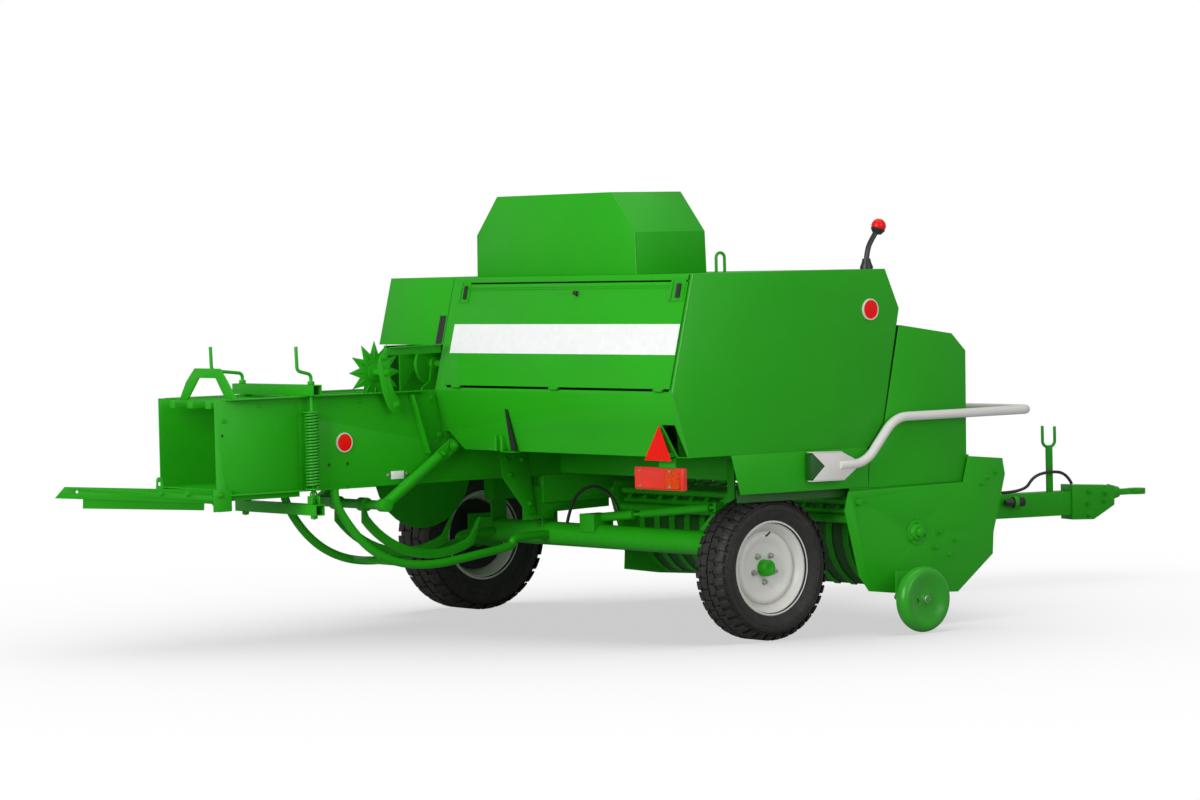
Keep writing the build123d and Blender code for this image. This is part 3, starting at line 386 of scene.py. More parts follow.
class NodeBoard:
    """The node tree of one new material."""

    def __init__(self, name: str) -> None:
        """Start a material with an empty principled shader."""
        self.material = bpy.data.materials.new(name)
        self.material.use_nodes = True
        self.tree = self.material.node_tree
        self.shader = self.tree.nodes["Principled BSDF"]
        self.output = self.tree.nodes["Material Output"]
        self.place = self.tree.nodes.new("ShaderNodeTexCoord").outputs["Object"]

    def node(self, kind: str, **values: Any) -> bpy.types.Node:
        """Add a node of a type and set its plain properties by name."""
        made = self.tree.nodes.new(kind)
        for key, value in values.items():
            setattr(made, key, value)
        return made

    def wire(self, source: Socket, target: Socket) -> None:
        """Link two sockets."""
        self.tree.links.new(source, target)

    def noise(self, scale: float, detail: float = 3.0, rough: float = 0.55) -> Socket:
        """Value of a noise over the object's own coordinates."""
        made = self.node("ShaderNodeTexNoise")
        for key, value in (("Scale", scale), ("Detail", detail), ("Roughness", rough)):
            made.inputs[key].default_value = value
        self.wire(self.place, made.inputs["Vector"])
        return made.outputs["Fac"]

    def spread(self, source: Socket, low: float, high: float, to_low: float, to_high: float) -> Socket:
        """A value mapped from one range to another, clamped.

        Args:
            source: the value.
            low: where the first range starts.
            high: where it ends.
            to_low: the result at its start.
            to_high: the result at its end.

        Returns:
            The mapped value.
        """
        made = self.node("ShaderNodeMapRange")
        for key, value in (("From Min", low), ("From Max", high), ("To Min", to_low), ("To Max", to_high)):
            made.inputs[key].default_value = value
        self.wire(source, made.inputs["Value"])
        return made.outputs["Result"]

    def tint(self, share: Socket, first: Point, second: Point) -> None:
        """Colour the surface from the first colour where the share is 0 to the second where it is 1."""
        made = self.node("ShaderNodeMix", data_type="RGBA")
        self.wire(share, made.inputs["Factor"])
        made.inputs[6].default_value = (*first, 1.0)
        made.inputs[7].default_value = (*second, 1.0)
        self.wire(made.outputs[2], self.shader.inputs["Base Color"])

    def wear(self, source: Socket, low: float, high: float) -> None:
        """Let a noise move the roughness between two values."""
        self.wire(self.spread(source, 0.3, 0.7, low, high), self.shader.inputs["Roughness"])

    def bump(self, *heights: tuple[Socket, float, float]) -> None:
        """Bump the surface by heights in turn, each with its value, strength and distance in metres."""
        last: Socket | None = None
        for value, strength, distance in heights:
            made = self.node("ShaderNodeBump")
            made.inputs["Strength"].default_value = strength
            made.inputs["Distance"].default_value = distance
            self.wire(value, made.inputs["Height"])
            if last is not None:
                self.wire(last, made.inputs["Normal"])
            last = made.outputs["Normal"]
        self.wire(last, self.shader.inputs["Normal"])

    def set(self, **values: Any) -> bpy.types.Material:
        """Set the principled shader's own sockets, with underscores for spaces, and give the material."""
        for key, value in values.items():
            self.shader.inputs[key.replace("_", " ")].default_value = value
        return self.material


@dataclass(frozen=True)
class Enamel:
    """Sprayed enamel on steel: slight unevenness of colour, orange peel and panel ripple."""

    name: str
    colour: Spot
    shade: Spot
    roughness: float = 0.38
    coat: float = 0.03
    peel: float = 0.06
    ripple: float = 0.10

    def material(self) -> bpy.types.Material:
        """Build the enamel's material."""
        board = NodeBoard(self.name)
        board.tint(board.spread(board.noise(1.7, 4.0, 0.6), 0.3, 0.7, 0.0, 1.0), self.shade, self.colour)
        board.wear(board.noise(9.0, 5.0, 0.65), self.roughness - 0.05, self.roughness + 0.07)
        board.bump((board.noise(420.0, 2.0), self.peel, 0.0006), (board.noise(2.6, 2.0), self.ripple, 0.004))
        return board.set(Coat_Weight=self.coat, Coat_Roughness=0.16, Specular_IOR_Level=0.2)


@dataclass(frozen=True)
class RoughCasting:
    """Painted cast iron with a sandy skin."""

    name: str
    colour: Spot

    def material(self) -> bpy.types.Material:
        """Build the casting's material."""
        board = NodeBoard(self.name)
        board.tint(board.noise(14.0, 6.0, 0.7), dim(self.colour, 0.72), self.colour)
        board.bump((board.noise(160.0, 4.0, 0.7), 0.35, 0.0012), (board.noise(22.0, 3.0), 0.2, 0.002))
        return board.set(Roughness=0.5, Coat_Weight=0.15, Coat_Roughness=0.3)


@dataclass(frozen=True)
class BareSteel:
    """Bright or worn bare steel with fine scratches."""

    name: str
    colour: Spot
    roughness: float = 0.33

    def material(self) -> bpy.types.Material:
        """Build the steel's material."""
        board = NodeBoard(self.name)
        board.tint(board.spread(board.noise(24.0, 6.0, 0.7), 0.42, 0.7, 1.0, 0.0), dim(self.colour, 0.62), self.colour)
        board.wear(board.noise(60.0, 4.0), self.roughness - 0.06, self.roughness + 0.1)
        board.bump((board.noise(300.0, 3.0), 0.12, 0.0004))
        return board.set(Metallic=0.9)


@dataclass(frozen=True)
class Rubber:
    """Tyre or hose rubber, dusty where it is worn."""

    name: str
    colour: Spot
    dust: Spot
    roughness: float = 0.62

    def material(self) -> bpy.types.Material:
        """Build the rubber's material."""
        board = NodeBoard(self.name)
        board.tint(board.spread(board.noise(16.0, 6.0, 0.7), 0.45, 0.75, 0.0, 1.0), self.colour, self.dust)
        board.wear(board.noise(40.0, 4.0), self.roughness - 0.1, self.roughness + 0.12)
        board.bump((board.noise(260.0, 3.0), 0.25, 0.0006))
        return board.material


@dataclass(frozen=True)
class Reflector:
    """Moulded lens or reflector plastic with small prisms behind a clear face, with a weak emission that is a painted
    glow, not a lit lamp.
    """

    name: str
    colour: Spot
    # painted glow: emission strength that stands in for light the plastic reflects
    glow: float = 0.30
    prism: float = 260.0

    def material(self) -> bpy.types.Material:
        """Build the reflector's material."""
        board = NodeBoard(self.name)
        cells = board.node("ShaderNodeTexVoronoi", feature="F1")
        cells.inputs["Scale"].default_value = self.prism
        board.wire(board.place, cells.inputs["Vector"])
        depth = cells.outputs["Distance"]
        board.tint(board.spread(depth, 0.0, 0.8, 1.0, 0.0), dim(self.colour, 0.55), self.colour)
        board.bump((depth, 0.25, 0.0008))
        return board.set(Roughness=0.30, Specular_IOR_Level=0.25, Coat_Weight=0.10, Coat_Roughness=0.1,
                         Emission_Color=(*self.colour, 1.0), Emission_Strength=self.glow)


@dataclass(frozen=True)
class Plastic:
    """Moulded plastic with a fine grain."""

    name: str
    colour: Spot
    roughness: float = 0.42

    def material(self) -> bpy.types.Material:
        """Build the plastic's material."""
        board = NodeBoard(self.name)
        board.tint(board.noise(30.0, 3.0), dim(self.colour, 0.85), self.colour)
        board.bump((board.noise(500.0, 2.0), 0.12, 0.0004))
        return board.set(Roughness=self.roughness)


class Finish(Enum):
    """The finishes of this machine, each with the record's slot that it stands for.

    The first one of a slot is what the CAD nodes with that slot get.
    """

    GREEN = ("paint_green", Enamel("baler_green", (0.019, 0.385, 0.007), (0.017, 0.350, 0.006)))
    GREEN_ROD = ("paint_green",
                 Enamel("green_rod", (0.032, 0.360, 0.020), (0.024, 0.300, 0.014), 0.28, 0.25, 0.04, 0.02))
    SILVER = ("paint_silver", Enamel("rim_silver", (0.780, 0.770, 0.735), (0.710, 0.700, 0.670), 0.36, 0.2, 0.10, 0.03))
    CAST = ("cast", RoughCasting("green_casting", (0.030, 0.330, 0.018)))
    STEEL = ("steel", BareSteel("worn_steel", (0.42, 0.42, 0.41)))
    ZINC = ("steel", BareSteel("zinc_bolt", (0.55, 0.55, 0.52), 0.3))
    TYRE = ("tyre", Rubber("tyre_rubber", (0.013, 0.012, 0.011), (0.030, 0.028, 0.025)))
    HOSE = ("hose", Rubber("hose_rubber", (0.014, 0.014, 0.014), (0.030, 0.030, 0.030), 0.45))
    # RED, DEEP_RED and AMBER carry a painted glow: their emission stands in for light reflected by unlit reflectors and
    # lamps.
    RED = ("lens_red", Reflector("reflector_red", (0.80, 0.003, 0.003)))
    DEEP_RED = ("lens_red", Reflector("lens_red", (0.17, 0.001, 0.004), 0.03, 90.0))
    AMBER = ("lens_red", Reflector("lens_amber", (0.80, 0.060, 0.001), 0.12, 90.0))
    PALE = ("paint_silver", Plastic("pale_ring", (0.78, 0.74, 0.66), 0.4))
    # Painted shade: a dark copy of the green paint, for sheets put where there is only shade.
    SHADE = ("cast", RoughCasting("painted_shade_green", (0.007, 0.105, 0.004)))
    # Painted shadow: near-black, for plates that stand for shade inside wheels and notches.
    WELL = ("paint_silver", Plastic("wheel_well_shadow", (0.020, 0.020, 0.019), 0.7))
    BLACK = ("tyre", Plastic("black_plastic", (0.016, 0.016, 0.016), 0.38))
    STRIPE = ("paint_silver", Plastic("stripe_white", (0.95, 0.95, 0.96), 0.45))

    @property
    def slot(self) -> str:
        """The record's material slot."""
        return self.value[0]

    def paint(self) -> bpy.types.Material:
        """The finish's material, made once."""
        found = bpy.data.materials.get(self.value[1].name)
        return found if found is not None else self.value[1].material()


def coat(thing: Thing, finish: Finish) -> Thing:
    """Give a piece one finish all over."""
    thing.data.materials.clear()
    thing.data.materials.append(finish.paint())
    return thing


def settle(thing: Thing, body: str, finish: Finish, edge: float = 0.0, angle: float = 35.0) -> Thing:
    """Finish a piece: round its edges, shade it, paint it and let it ride.

    Args:
        thing: the piece, its place in its mesh.
        body: the CAD body that it moves with.
        finish: what it is painted with.
        edge: width of the rounded edges, none where 0.
        angle: edges sharper than this, in degrees, stay crisp or are rounded.

    Returns:
        The same piece.
    """
    if edge > 0:
        round_edges(thing, edge, 2, angle)
    smooth(thing, angle)
    coat(thing, finish)
    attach(thing, body)
    log.info("%s rides on %s", thing.name, body)
    return thing


def turn(name: str, profile: Sequence[Flat], centre: Point, body: str, finish: Finish, axis: Point = ACROSS,
         steps: int = 32, edge: float = 0.0, angle: float = 40.0) -> Thing:
    """A turned piece, finished. The arguments are those of lathe() and settle()."""
    return settle(lathe(name, profile, centre, axis, steps), body, finish, edge, angle)


# ---------------------------------------------------------------- the frame and the studio


class Frame:
    """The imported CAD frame: its nodes get their finishes, and smooth copies stand for them."""

    edge = 0.0012           # width of the copies' rounded edges
    merge = 2e-5            # points nearer than this are one
    flat = 0.8              # faces turned less than this, in degrees, are one

    def __init__(self) -> None:
        """Load the frame and keep its tables."""
        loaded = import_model()
        record = loaded["record"]
        first_of = {finish.slot: finish for finish in reversed(Finish)}
        self.nodes: dict[str, Thing] = loaded["nodes"]
        self.body_of = {name: body for body, names in record["behaviour"]["bodies"].items() for name in names}
        self.finish_of = {row["node"]: first_of[row["material_slot"]] for row in record["subparts"]}

    def smooth_copy(self, name: str) -> None:
        """Make a merged copy of a node with rounded edges, which stands for the node."""
        node = self.nodes[name]
        twin = node.copy()
        twin.data = node.data.copy()
        twin.name = f"{name}_shell"
        twin.parent = None
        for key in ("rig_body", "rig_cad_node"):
            if key in twin:
                del twin[key]
        bpy.context.scene.collection.objects.link(twin)
        open_all(twin)
        bpy.ops.mesh.remove_doubles(threshold=self.merge)
        bpy.ops.mesh.dissolve_limited(angle_limit=math.radians(self.flat))
        leave_edit()
        settle(twin, self.body_of[name], self.finish_of[name], self.edge)
        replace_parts(twin, name)

    def dress(self, kept: Iterable[str]) -> None:
        """Give every node its finish, as a smooth copy or on its own mesh.

        Args:
            kept: nodes that other pieces replace, which get only their material.
        """
        for name, node in self.nodes.items():
            if name in kept:
                coat(node, self.finish_of[name])
            else:
                self.smooth_copy(name)


@dataclass
class Studio:
    """The photograph's camera, a pale floor and plain soft light."""

    camera_place: Spot = (14.5076, -12.2039, 1.7388)
    heading: float = 51.2811
    pitch: float = 2.0787
    roll: float = -1.2597
    lens: float = 119.3316
    floor_size: float = 60.0
    floor_drop: float = 0.0005
    bounce: float = 0.45
    reach: float = 4.0
    # The floor's shadow is painted: an emission that darkens with ambient occlusion, not a shadow from the lamps.
    shadow: Spot = (0.42, 0.985, 0.60)      # openness where it ends being dark, where it is white, and how dark it is
    sky: float = 0.42
    aim: Spot = (0, -0.3, 0.7)
    lamps: tuple[tuple[str, Spot, float, float], ...] = (
        ("key_lamp", (3.0, -12.0, 5.0), 7.0, 1000.0), ("side_lamp", (12.0, 0.0, 5.0), 7.0, 300.0),
        ("top_lamp", (0.5, 0.5, 9.0), 8.0, 200.0))

    def camera(self) -> None:
        """Set the camera where the photograph was taken from."""
        a, p, r = (math.radians(v) for v in (self.heading, self.pitch, self.roll))
        ahead = Vector((-math.sin(a) * math.cos(p), math.cos(a) * math.cos(p), -math.sin(p)))
        right = Vector((math.cos(a), math.sin(a), 0.0))
        up = right.cross(ahead)
        right_rolled = math.cos(r) * right + math.sin(r) * up
        up_rolled = -math.sin(r) * right + math.cos(r) * up
        turned = Matrix((right_rolled, up_rolled, -ahead)).transposed()
        data = bpy.data.cameras.new("photo_camera")
        data.sensor_width = 36.0
        data.lens = self.lens
        data.clip_end = 200.0
        thing = bpy.data.objects.new("photo_camera", data)
        thing.matrix_world = Matrix.Translation(self.camera_place) @ turned.to_4x4()
        bpy.context.scene.collection.objects.link(thing)
        bpy.context.scene.camera = thing

    def floor(self) -> None:
        """A floor that is white to the camera, with a painted soft neutral shadow under and round the machine, made
        from ambient occlusion and not from the lamps.
        """
        clear_selection()
        bpy.ops.mesh.primitive_plane_add(size=self.floor_size, location=(0, 0, -self.floor_drop))
        thing = just_added("floor")
        board = NodeBoard("floor_paper")
        seen = board.node("ShaderNodeLightPath").outputs["Is Camera Ray"]
        paper = board.node("ShaderNodeBsdfDiffuse")
        paper.inputs["Color"].default_value = (self.bounce, self.bounce, self.bounce, 1.0)
        openness = board.node("ShaderNodeAmbientOcclusion", samples=24)
        openness.inputs["Distance"].default_value = self.reach
        # Painted shadow: the camera sees this emission, darker where ambient occlusion finds the machine close.
        white = board.node("ShaderNodeEmission")
        board.wire(board.spread(openness.outputs["AO"], *self.shadow, 1.0), white.inputs["Strength"])
        mixed = board.node("ShaderNodeMixShader")
        for number, source in enumerate((seen, paper.outputs["BSDF"], white.outputs["Emission"])):
            board.wire(source, mixed.inputs[number])
        board.wire(mixed.outputs["Shader"], board.output.inputs["Surface"])
        thing.data.materials.append(board.material)

    def light(self) -> None:
        """A pale world, white to the camera, and soft lamps at both sides of the camera."""
        world = bpy.data.worlds.new("studio")
        world.use_nodes = True
        bpy.context.scene.world = world
        tree = world.node_tree
        glow = tree.nodes["Background"]
        path = tree.nodes.new("ShaderNodeLightPath")
        level = tree.nodes.new("ShaderNodeMapRange")
        level.inputs["To Min"].default_value = self.sky
        level.inputs["To Max"].default_value = 1.0
        tree.links.new(path.outputs["Is Camera Ray"], level.inputs["Value"])
        glow.inputs["Color"].default_value = (1.0, 1.0, 1.0, 1.0)
        tree.links.new(level.outputs["Result"], glow.inputs["Strength"])
        for name, place, size, power in self.lamps:
            data = bpy.data.lights.new(name, "AREA")
            data.shape = "SQUARE"
            data.size = size
            data.energy = power
            thing = bpy.data.objects.new(name, data)
            thing.location = place
            thing.rotation_euler = (Vector(self.aim) - Vector(place)).to_track_quat("-Z", "Y").to_euler()
            bpy.context.scene.collection.objects.link(thing)

    def build(self) -> None:
        """Set up the whole studio."""
        self.camera()
        self.floor()
        self.light()
        bpy.context.scene.view_settings.view_transform = "Standard"


# ---------------------------------------------------------------- the machine's pieces


class Part(Protocol):
    """Anything that builds its pieces when asked."""

    def build(self) -> None:
        """Build the pieces."""


class Tread(Enum):
    """Tread patterns: how many pitches go round and how long the shoulder blocks are."""

    ROAD = (38, 0.62)
    FIELD = (30, 0.70)

    @property
    def pitches(self) -> int:
        """How often the pattern repeats round the tyre."""
        return self.value[0]

    @property
    def shoulder(self) -> float:
        """Length of a shoulder block as a share of the pitch."""
        return self.value[1]


@dataclass
class Wheel:
    """A road wheel: tyre with sidewalls and tread, pressed rim with disc, bolts, hub cap and valve."""

    side_name: str
    centre: Spot
    radius: float
    width: float
    rim_radius: float
    outward: int
    tread: Tread
    groove: float = 0.011
    block_root: float = 0.006
    lines: Flat = (0.055, 0.082)
    bolts: int = 5
    bolt_circle: float = 0.064

    @property
    def body(self) -> str:
        """The CAD body of this wheel."""
        return f"wheel_{self.side_name}"

    def turned(self, angle: float) -> Matrix:
        """A turn about the wheel's own axle, in degrees."""
        there = Matrix.Translation(self.centre)
        return there @ Matrix.Rotation(math.radians(angle), 4, "X") @ there.inverted()

    def facing_out(self, *profile: Flat) -> list[Flat]:
        """A profile along the axle, turned to the wheel's own outer side."""
        return [(self.outward * along, radius) for along, radius in profile]

    def carcass(self) -> Thing:
        """The tyre's body without its blocks."""
        w, r, b = self.width, self.radius - self.groove, self.rim_radius
        half = [(0.340, b - 0.004), (0.372, b + 0.003), (0.385, b + 0.012), (0.440, b + 0.024), (0.486, b + 0.044),
                (0.498, b + 0.062), (0.492, b + 0.078), (0.474, r - 0.026), (0.448, r - 0.012), (0.400, r - 0.004),
                (0.290, r - 0.001), (0.150, r), (0.0, r)]
        ring = [(a * w, q) for a, q in half] + [(-a * w, q) for a, q in half[-2::-1]]
        return smooth(lathe(f"carcass_{self.side_name}", ring, self.centre), 50.0)

    def block(self, name: str, across: float, wide: float, share: float, zigzag: float, lean: float) -> Thing:
        """One tread block at the top of the tyre.

        Args:
            name: the object's name.
            across: its middle along the axle.
            wide: its width along the axle.
            share: its length as a share of the pitch.
            zigzag: how far its middle is pushed along the axle.
            lean: how far its outer shoulder hangs down.

        Returns:
            The block.
        """
        cx, cy, cz = self.centre
        half = 2 * math.pi * self.radius / self.tread.pitches * share / 2
        low, top = self.radius - self.groove - self.block_root, self.radius - 0.0004
        middle = cx + across
        thing = start_box(name, (middle - wide / 2, cy - half, cz + low), (middle + wide / 2, cy + half, cz + top))
        open_all(thing)
        bpy.ops.mesh.subdivide(number_cuts=2)
        mesh = bmesh.from_edit_mesh(thing.data)
        out = 1 if across > 0 else -1
        for v in mesh.verts:
            drop = (v.co.y - cy) / half
            v.co.x += zigzag * (1 - abs(drop) * 1.6)
            share_out = ((v.co.x - cx - across) * out / (wide / 2) + 1) / 2
            if lean > 0 and v.co.z > cz + low + 1e-4:
                v.co.z -= lean * max(0.0, share_out - 0.35) ** 2
            v.co.z -= (self.radius - math.sqrt(self.radius ** 2 - (v.co.y - cy) ** 2)) * 0.9
        bmesh.update_edit_mesh(thing.data)
        leave_edit()
        return round_edges(thing, 0.0016, 1, 40.0)

    def tyre(self) -> None:
        """The whole tyre, which stands for the CAD node."""
        w, pitch, shoulder = self.width, 360.0 / self.tread.pitches, self.tread.shoulder
        made = [self.carcass()]
        # middle across, width, length, zigzag, start in the pitch, lean; all but zigzag and lean are shares
        rows = ((0.125, 0.20, 0.86, 0.006, 0.0, 0.0), (-0.125, 0.20, 0.86, -0.006, 0.5, 0.0),
                (0.375, 0.235, shoulder, -0.004, 0.25, 0.034), (-0.375, 0.235, shoulder, 0.004, 0.75, 0.034))
        for number, (across, wide, share, zig, start, lean) in enumerate(rows):
            first = self.block(f"block_{number}", across * w, wide * w, share, zig, lean)
            made += copy_to(first, [self.turned(pitch * (k + start)) for k in range(self.tread.pitches)])
        for side in (1, -1):
            for at in self.lines:
                middle, foot = self.rim_radius + at, side * w * 0.484
                ring = ((foot, middle - 0.002), (side * (w * 0.5 + 0.0006), middle), (foot, middle + 0.002))
                made.append(smooth(lathe(f"line_{at}_{side}", ring, self.centre), 60.0))
        whole = join(made, f"tyre_{self.side_name}_rubber")
        settle(whole, self.body, Finish.TYRE, 0.0, 40.0)
        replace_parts(whole, f"tyre_{self.side_name}")

    def rim(self) -> None:
        """Pressed rim with its disc, which stand for the CAD node."""
        b, lip = self.rim_radius, self.width * 0.40
        outer = ((-lip, b + 0.004), (-lip + 0.006, b + 0.011), (-lip + 0.014, b + 0.006), (-lip + 0.02, b - 0.006),
                 (-lip * 0.5, b - 0.012), (-0.018, b - 0.036), (0.020, b - 0.036), (lip * 0.55, b - 0.012),
                 (lip - 0.02, b - 0.006), (lip - 0.014, b + 0.006), (lip - 0.006, b + 0.011), (lip, b + 0.004))
        inner = tuple((a * 0.985, q - 0.0045) for a, q in reversed(outer))
        barrel = lathe(f"barrel_{self.side_name}", self.facing_out(*outer, *inner, outer[0]), self.centre)
        pressed = self.facing_out(
            (0.016, b - 0.040), (0.030, b - 0.046), (0.036, b - 0.056), (0.034, b - 0.068), (0.020, b - 0.088),
            (0.014, b - 0.100), (0.013, 0.030), (0.008, 0.030), (0.009, b - 0.101), (0.015, b - 0.091),
            (0.028, b - 0.069), (0.030, b - 0.057), (0.025, b - 0.050), (0.010, b - 0.044), (0.016, b - 0.040))
        disc = lathe(f"disc_{self.side_name}", pressed, self.centre)
        shell = join([smooth(barrel, 50.0), smooth(disc, 50.0)], f"rim_{self.side_name}_pressing")
        settle(shell, self.body, Finish.SILVER, 0.0, 50.0)
        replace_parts(shell, f"rim_{self.side_name}")

    def hub(self) -> None:
        """Hub cap, a black ring of painted shadow behind the disc, wheel nuts and valve."""
        o, b = self.outward, self.rim_radius
        turn(f"hub_cap_{self.side_name}", self.facing_out(
            (-0.060, 0.0), (-0.060, 0.060), (0.006, 0.060), (0.012, 0.038), (0.052, 0.036), (0.058, 0.031),
            (0.059, 0.018), (0.056, 0.013), (0.056, 0.0)), self.centre, self.body, Finish.GREEN, steps=48)
        # Painted shadow: a black ring for the shade inside the wheel, behind the disc.
        turn(f"wheel_well_{self.side_name}", self.facing_out(
            (-0.026, 0.0612), (-0.032, b - 0.0415), (-0.036, b - 0.0415), (-0.034, 0.0612), (-0.026, 0.0612)),
            self.centre, self.body, Finish.WELL, steps=64)
        x, y, z = self.centre
        x += o * 0.013
        top = z + self.bolt_circle
        # seat, hexagon and stud of a nut: where each starts and ends outwards, its radius, its sides, its tip radius
        sizes = ((0.0, 0.007, 0.0145, 24, 0.0125), (0.006, 0.020, 0.0115, 6, 0.0108), (0.018, 0.026, 0.006, 12, 0.005))
        nut = [start_rod("nut", (x + o * start, y, top), (x + o * end, y, top), radius, sides, tip)
               for start, end, radius, sides, tip in sizes]
        nuts = copy_to(round_edges(join(nut, "nut"), 0.0008, 1),
                       [self.turned(360.0 / self.bolts * (k + 0.5)) for k in range(self.bolts)])
        settle(join(nuts, f"wheel_nuts_{self.side_name}"), self.body, Finish.ZINC)
        stem = [(x + o * out, y, z + b - below) for out, below in ((0.010, 0.066), (0.030, 0.060), (0.048, 0.044))]
        settle(bent_rod(f"valve_{self.side_name}", stem, 0.004, 2), self.body, Finish.BLACK)

    def build(self) -> None:
        """Build the tyre, the rim and what is at the hub."""
        self.tyre()
        self.rim()
        self.hub()


@dataclass
class DensitySprings:
    """Coil springs on the two cranks that press the roof rails down."""

    xs: Flat = (-1.072, -0.508)
    y: float = -1.858
    low: float = 0.703
    high: float = 1.049
    coil_radius: float = 0.031
    wire: float = 0.0058
    turns: int = 24
    points_a_turn: int = 12

    def build(self) -> None:
        """Wind one spring and copy it to the other side."""
        x = self.xs[0]
        count = self.turns * self.points_a_turn
        rise = self.high - self.low - 2 * self.wire
        points = []
        for k in range(count + 1):
            across, along = polar(self.coil_radius, 360.0 * k / self.points_a_turn)
            points.append((x + across, self.y + along, self.low + self.wire + rise * k / count))
        spring = bent_rod("spring", points, self.wire, 2)
        both = copy_to(spring, [Matrix.Translation((self.xs[1] - x, 0, 0))], keep=True)
        whole = join(both, "density_springs")
        settle(whole, "chassis", Finish.GREEN_ROD, 0.0, 60.0)
        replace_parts(whole, "tension_springs")


@dataclass(frozen=True)
class SpringFoot:
    """Forked lug and ring that hold each density spring's lower hook on the cross tube."""

    xs: Flat = (-1.072, -0.508)
    y: float = -1.858
    top: float = 0.6295

    def build(self) -> None:
        """Make one fork with its ring and copy it to the other spring."""
        x, y, name = self.xs[0], self.y, "spring_foot"
        cheeks = [start_box(name, (x - 0.020, y + dy - 0.003, self.top), (x + 0.020, y + dy + 0.003, self.top + 0.038))
                  for dy in (-0.019, 0.019)]
        pin = start_rod(name, (x, y - 0.026, self.top + 0.026), (x, y + 0.026, self.top + 0.026), 0.006, 16)
        ring = lathe(name, [(-0.004, 0.014), (-0.004, 0.020), (0.004, 0.020), (0.004, 0.014), (-0.004, 0.014)],
                     (x, y, self.top + 0.044), steps=24)
        made = copy_to(join(cheeks + [pin, ring], name), [Matrix.Translation((self.xs[1] - x, 0, 0))], keep=True)
        settle(join(made, name), "chassis", Finish.GREEN, 0.001)


@dataclass(frozen=True)
class Bolts:
    """Like hexagon bolts with washers on one body, all facing one way."""

    name: str
    places: tuple[Spot, ...]
    radius: float = 0.009
    body: str = "chassis"
    axis: Spot = ACROSS
    finish: Finish = Finish.GREEN

    def build(self) -> None:
        """Turn one bolt out of a washer, a head and a shank end, and copy it to its places."""
        first, out, r = Vector(self.places[0]), Vector(self.axis).normalized(), self.radius
        washer = lathe("washer", [(-0.001, 0.0), (-0.001, r * 1.7), (r * 0.18, r * 1.62), (r * 0.24, r * 1.2),
                                  (r * 0.24, 0.0)], first, out, 20)
        head = start_rod("head", first + out * r * 0.2, first + out * r * 0.95, r * 1.1, 6, r * 1.04)
        shank = start_rod("shank", first + out * r * 0.9, first + out * r * 1.35, r * 0.55, 12, r * 0.5)
        bolt = round_edges(join([washer, head, shank], "bolt"), 0.0007, 1)
        made = copy_to(bolt, [Matrix.Translation(Vector(p) - first) for p in self.places])
        settle(join(made, self.name), self.body, self.finish, 0.0, 30.0)


@dataclass(frozen=True)
class Disc:
    """A round reflector on the chassis, facing right, with a pale ring round it."""

    name: str
    centre: Spot
    radius: float
    ring_width: float = 0.006
    height: float = 0.008

    def build(self) -> None:
        """Turn the ring, then the domed face inside it."""
        r, h, w = self.radius, self.height, self.ring_width
        q = r - w
        turn(f"{self.name}_ring", [(-0.001, q), (-0.001, r), (h * 0.7, r), (h, r - w * 0.4), (h, q), (-0.001, q)],
             self.centre, "chassis", Finish.PALE, steps=48)
        turn(f"{self.name}_face", [(-0.001, 0.0), (-0.001, q), (h * 0.62, q), (h * 0.84, q * 0.7), (h * 0.9, 0.0)],
             self.centre, "chassis", Finish.RED, steps=48)


